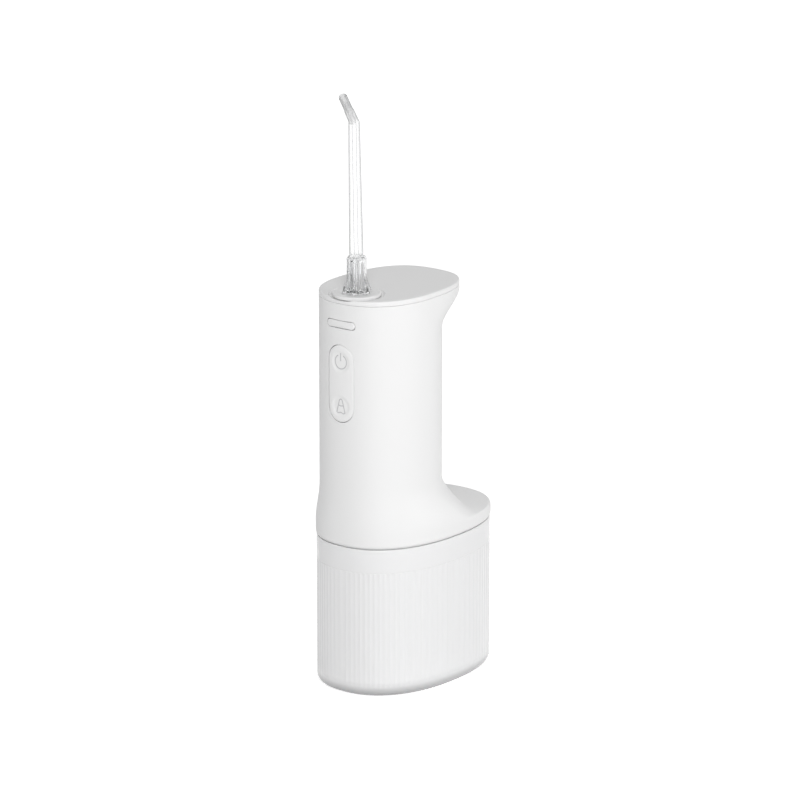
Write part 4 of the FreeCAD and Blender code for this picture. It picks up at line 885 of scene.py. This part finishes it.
tree.links.new(edge_body.outputs["Result"], solid.inputs[0])
tree.links.new(collar.outputs["Result"], solid.inputs[1])
tree.links.new(solid.outputs[0], shader.inputs["Alpha"])
refracts = tree.nodes.new("ShaderNodeMath")
refracts.operation = "MULTIPLY"
refracts.inputs[1].default_value = 0.9
tree.links.new(collar.outputs["Result"], refracts.inputs[0])
tree.links.new(refracts.outputs[0], shader.inputs["Transmission Weight"])
shader.inputs["IOR"].default_value = 1.42
add_grain(clear, shader, place, 3 * MM, 0.002 * MM, 0.03, 0.05)

tree, ids = collar_tree()
flutes = bpy.data.objects.new("collar_flutes", bpy.data.meshes.new("collar_flutes"))
bpy.context.collection.objects.link(flutes)
modifier = flutes.modifiers.new("flutes", "NODES")
modifier.node_group = tree
modifier[ids["Flute"]] = flute
modifier[ids["Flute Count"]] = COLLAR_FLUTES
modifier[ids["Centre"]] = (0.0, NOZZLE_Y, 0.0)
modifier[ids["Material"]] = clear
bake(flutes)
boolean(nozzle, flutes, "UNION")
bpy.data.objects.remove(flute)
way_low = Vector((0, NOZZLE_Y, STEM_BOTTOM - 1 * MM))
way = [(way_low, WATERWAY), (SHAFT_BASE, WATERWAY), (ELBOW - 2 * MM * shaft_way, WATERWAY)]
for t in spread(0, 1, 6)[1:-1]:
    low, high = ELBOW - 2 * MM * shaft_way, ELBOW + 2 * MM * tip_way
    way.append(((1 - t) ** 2 * low + 2 * t * (1 - t) * ELBOW + t ** 2 * high, WATERWAY))
way += [(ELBOW + 2 * MM * tip_way, WATERWAY), (ELBOW + 13 * MM * tip_way, WATERWAY),
        (ELBOW + 14 * MM * tip_way, MOUTH_RADIUS), (ELBOW + 20 * MM * tip_way, MOUTH_RADIUS)]
boolean(nozzle, rod("waterway", way, 48))
smooth(nozzle, 35)
nozzle.data.materials.clear()
nozzle.data.materials.append(clear)
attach(nozzle, "nozzle")
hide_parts("nozzle")

# ------------------------------------------------------------------ base plug and gasket
# The plug is white plastic. It closes the handle's underside and fits down into the tank's
# mouth, where a soft silicone ring seals it. The suction tube hangs from it, with a filter
# at its end.
# Greyer than the shell's white: painted shade for the inside of the tank and the handle, on the
# plug, the filter, the pump parts and the frame.
shaded_inner_white, shader, place = new_material("inner_white_painted_shade")
shader.inputs["Base Color"].default_value = (0.72, 0.73, 0.73, 1)
add_grain(shaded_inner_white, shader, place, 0.35 * MM, 0.008 * MM, 0.46, 0.56)
for node in ("base_plug", "suction_filter"):
    paint(node, shaded_inner_white)
for node in ("tank_gasket", "suction_tube"):
    paint(node, silicone)

# ------------------------------------------------------------------ pump, motor and drive
# A small motor turns a crank through a pinion and gear, and a rod drives the piston. The
# shafts, pins, screws and valve balls are steel, and the gear is acetal.
gear_white, shader, place = new_material("acetal")
shader.inputs["Base Color"].default_value = (0.7, 0.69, 0.64, 1)
add_grain(gear_white, shader, place, 0.3 * MM, 0.004 * MM, 0.34, 0.42)
black, shader, place = new_material("black_plastic")
shader.inputs["Base Color"].default_value = (0.02, 0.02, 0.022, 1)
add_grain(black, shader, place, 0.3 * MM, 0.006 * MM, 0.42, 0.52)
iron, shader, place = new_material("laminated_iron")
shader.inputs["Base Color"].default_value = (0.2, 0.19, 0.18, 1)
shader.inputs["Metallic"].default_value = 0.9
add_grain(iron, shader, place, 0.2 * MM, 0.006 * MM, 0.42, 0.54)
brass, shader, place = new_material("brass")
shader.inputs["Base Color"].default_value = (0.66, 0.5, 0.23, 1)
shader.inputs["Metallic"].default_value = 1.0
add_grain(brass, shader, place, 0.2 * MM, 0.004 * MM, 0.26, 0.36)
# The pump parts take the greyer inner white, with its painted shade.
for node in ("pump_cylinder", "pump_head", "piston", "connecting_rod"):
    paint(node, shaded_inner_white)
for node in ("piston_seal", "intake_hose", "outlet_hose"):
    paint(node, silicone)
for node in ("motor_shaft", "motor_can", "crank_pin", "gear_axle", "wrist_pin",
             "inlet_valve_ball", "outlet_valve_ball", "frame_screws", "motor_screws"):
    paint(node, steel)
paint("crank_gear", gear_white)
paint("motor_end_cap", black)
for node in ("motor_magnets", "motor_armature"):
    paint(node, iron)
paint("pinion", brass)

# ------------------------------------------------------------------ cell, board and charging
# The cell is shrink wrapped, the board is green with black parts on it, and both sit on a
# white frame. Two gold contacts come through the round charge plate in the handle's back.
wrap, shader, place = new_material("cell_wrap")
shader.inputs["Base Color"].default_value = (0.04, 0.16, 0.42, 1)
add_grain(wrap, shader, place, 0.5 * MM, 0.01 * MM, 0.3, 0.38)
board, shader, place = new_material("circuit_board")
shader.inputs["Base Color"].default_value = (0.02, 0.2, 0.08, 1)
add_grain(board, shader, place, 0.4 * MM, 0.008 * MM, 0.36, 0.46)
gold, shader, place = new_material("gold_plate")
shader.inputs["Base Color"].default_value = (0.83, 0.62, 0.28, 1)
shader.inputs["Metallic"].default_value = 1.0
add_grain(gold, shader, place, 0.2 * MM, 0.002 * MM, 0.2, 0.3)
# The frame and bracket take the greyer inner white, with its painted shade.
for node in ("inner_frame", "board_bracket"):
    paint(node, shaded_inner_white)
paint("battery_cell", wrap)
paint("circuit_board", board)
for node in ("mode_switch", "power_switch", "board_components"):
    paint(node, black)
paint("charge_contacts", gold)
paint("charge_port", white)

# ------------------------------------------------------------------ floor, lamps and camera
# A white floor, one broad lamp beside the camera, a weak one on the right, and an even white
# room. Camera, mirror and clear-plastic rays see the floor and the room as plain white.
backdrop, shader, place = new_material("white_floor")
shader.inputs["Base Color"].default_value = (0.9, 0.9, 0.9, 1)
shader.inputs["Specular IOR Level"].default_value = 0.1
add_grain(backdrop, shader, place, 2 * MM, 0.01 * MM, 0.7, 0.8)
FLOOR_GLOW, ROOM_LIGHT = 0.66, 0.42


def seen_plainly(tree):
    """1 for camera, glossy and transmission rays, and 0 for the rays that light things."""
    path = tree.nodes.new("ShaderNodeLightPath")
    either, any_of = tree.nodes.new("ShaderNodeMath"), tree.nodes.new("ShaderNodeMath")
    either.operation = any_of.operation = "MAXIMUM"
    tree.links.new(path.outputs["Is Camera Ray"], either.inputs[0])
    tree.links.new(path.outputs["Is Glossy Ray"], either.inputs[1])
    tree.links.new(either.outputs[0], any_of.inputs[0])
    tree.links.new(path.outputs["Is Transmission Ray"], any_of.inputs[1])
    return any_of.outputs[0]


def choose(tree, factor, low, high):
    """A value that is low where the factor is 0 and high where it is 1."""
    pick = tree.nodes.new("ShaderNodeMapRange")
    pick.inputs["To Min"].default_value = low
    pick.inputs["To Max"].default_value = high
    tree.links.new(factor, pick.inputs["Value"])
    return pick.outputs["Result"]


shader.inputs["Emission Color"].default_value = (1, 1, 1, 1)
tree = backdrop.node_tree
glow = choose(tree, seen_plainly(tree), 0, FLOOR_GLOW)
tree.links.new(glow, shader.inputs["Emission Strength"])
floor_mesh = bpy.data.meshes.new("floor")
floor_mesh.from_pydata([(-20, -20, 0), (20, -20, 0), (20, 20, 0), (-20, 20, 0)], [],
                       [(0, 1, 2, 3)])
floor = bpy.data.objects.new("floor", floor_mesh)
bpy.context.collection.objects.link(floor)
floor.data.materials.append(backdrop)

world = bpy.data.worlds.new("white_room")
world.use_nodes = True
bpy.context.scene.world = world
tree = world.node_tree
background = tree.nodes["Background"]
background.inputs["Color"].default_value = (1, 1, 1, 1)
tree.links.new(choose(tree, seen_plainly(tree), ROOM_LIGHT, 1), background.inputs["Strength"])


def area_lamp(name, bearing, height, distance, size, power):
    """Square lamp at a bearing from the front, turned towards the middle of the object."""
    lamp = bpy.data.lights.new(name, "AREA")
    lamp.shape, lamp.size, lamp.energy = "SQUARE", size, power
    holder = bpy.data.objects.new(name, lamp)
    bpy.context.collection.objects.link(holder)
    turn = math.radians(bearing)
    holder.location = (distance * math.sin(turn), -distance * math.cos(turn), height)
    aim = Vector((0, 0, 0.13)) - holder.location
    holder.rotation_euler = aim.to_track_quat("-Z", "Y").to_euler()


area_lamp("key", 41, 1.2, 1.9, 0.8, 23)
area_lamp("fill", 112, 0.45, 1.9, 0.8, 7)

camera_data = bpy.data.cameras.new("camera")
camera_data.lens, camera_data.sensor_width = 226.7, 36
camera = bpy.data.objects.new("camera", camera_data)
bpy.context.collection.objects.link(camera)
camera.location = (1.3126, -1.6617, 0.7253)
look = Vector((-0.00096, -0.00143, 0.12343)) - camera.location
camera.rotation_euler = look.to_track_quat("-Z", "Y").to_euler()
bpy.context.scene.camera = camera
bpy.context.scene.view_settings.view_transform = "Standard"
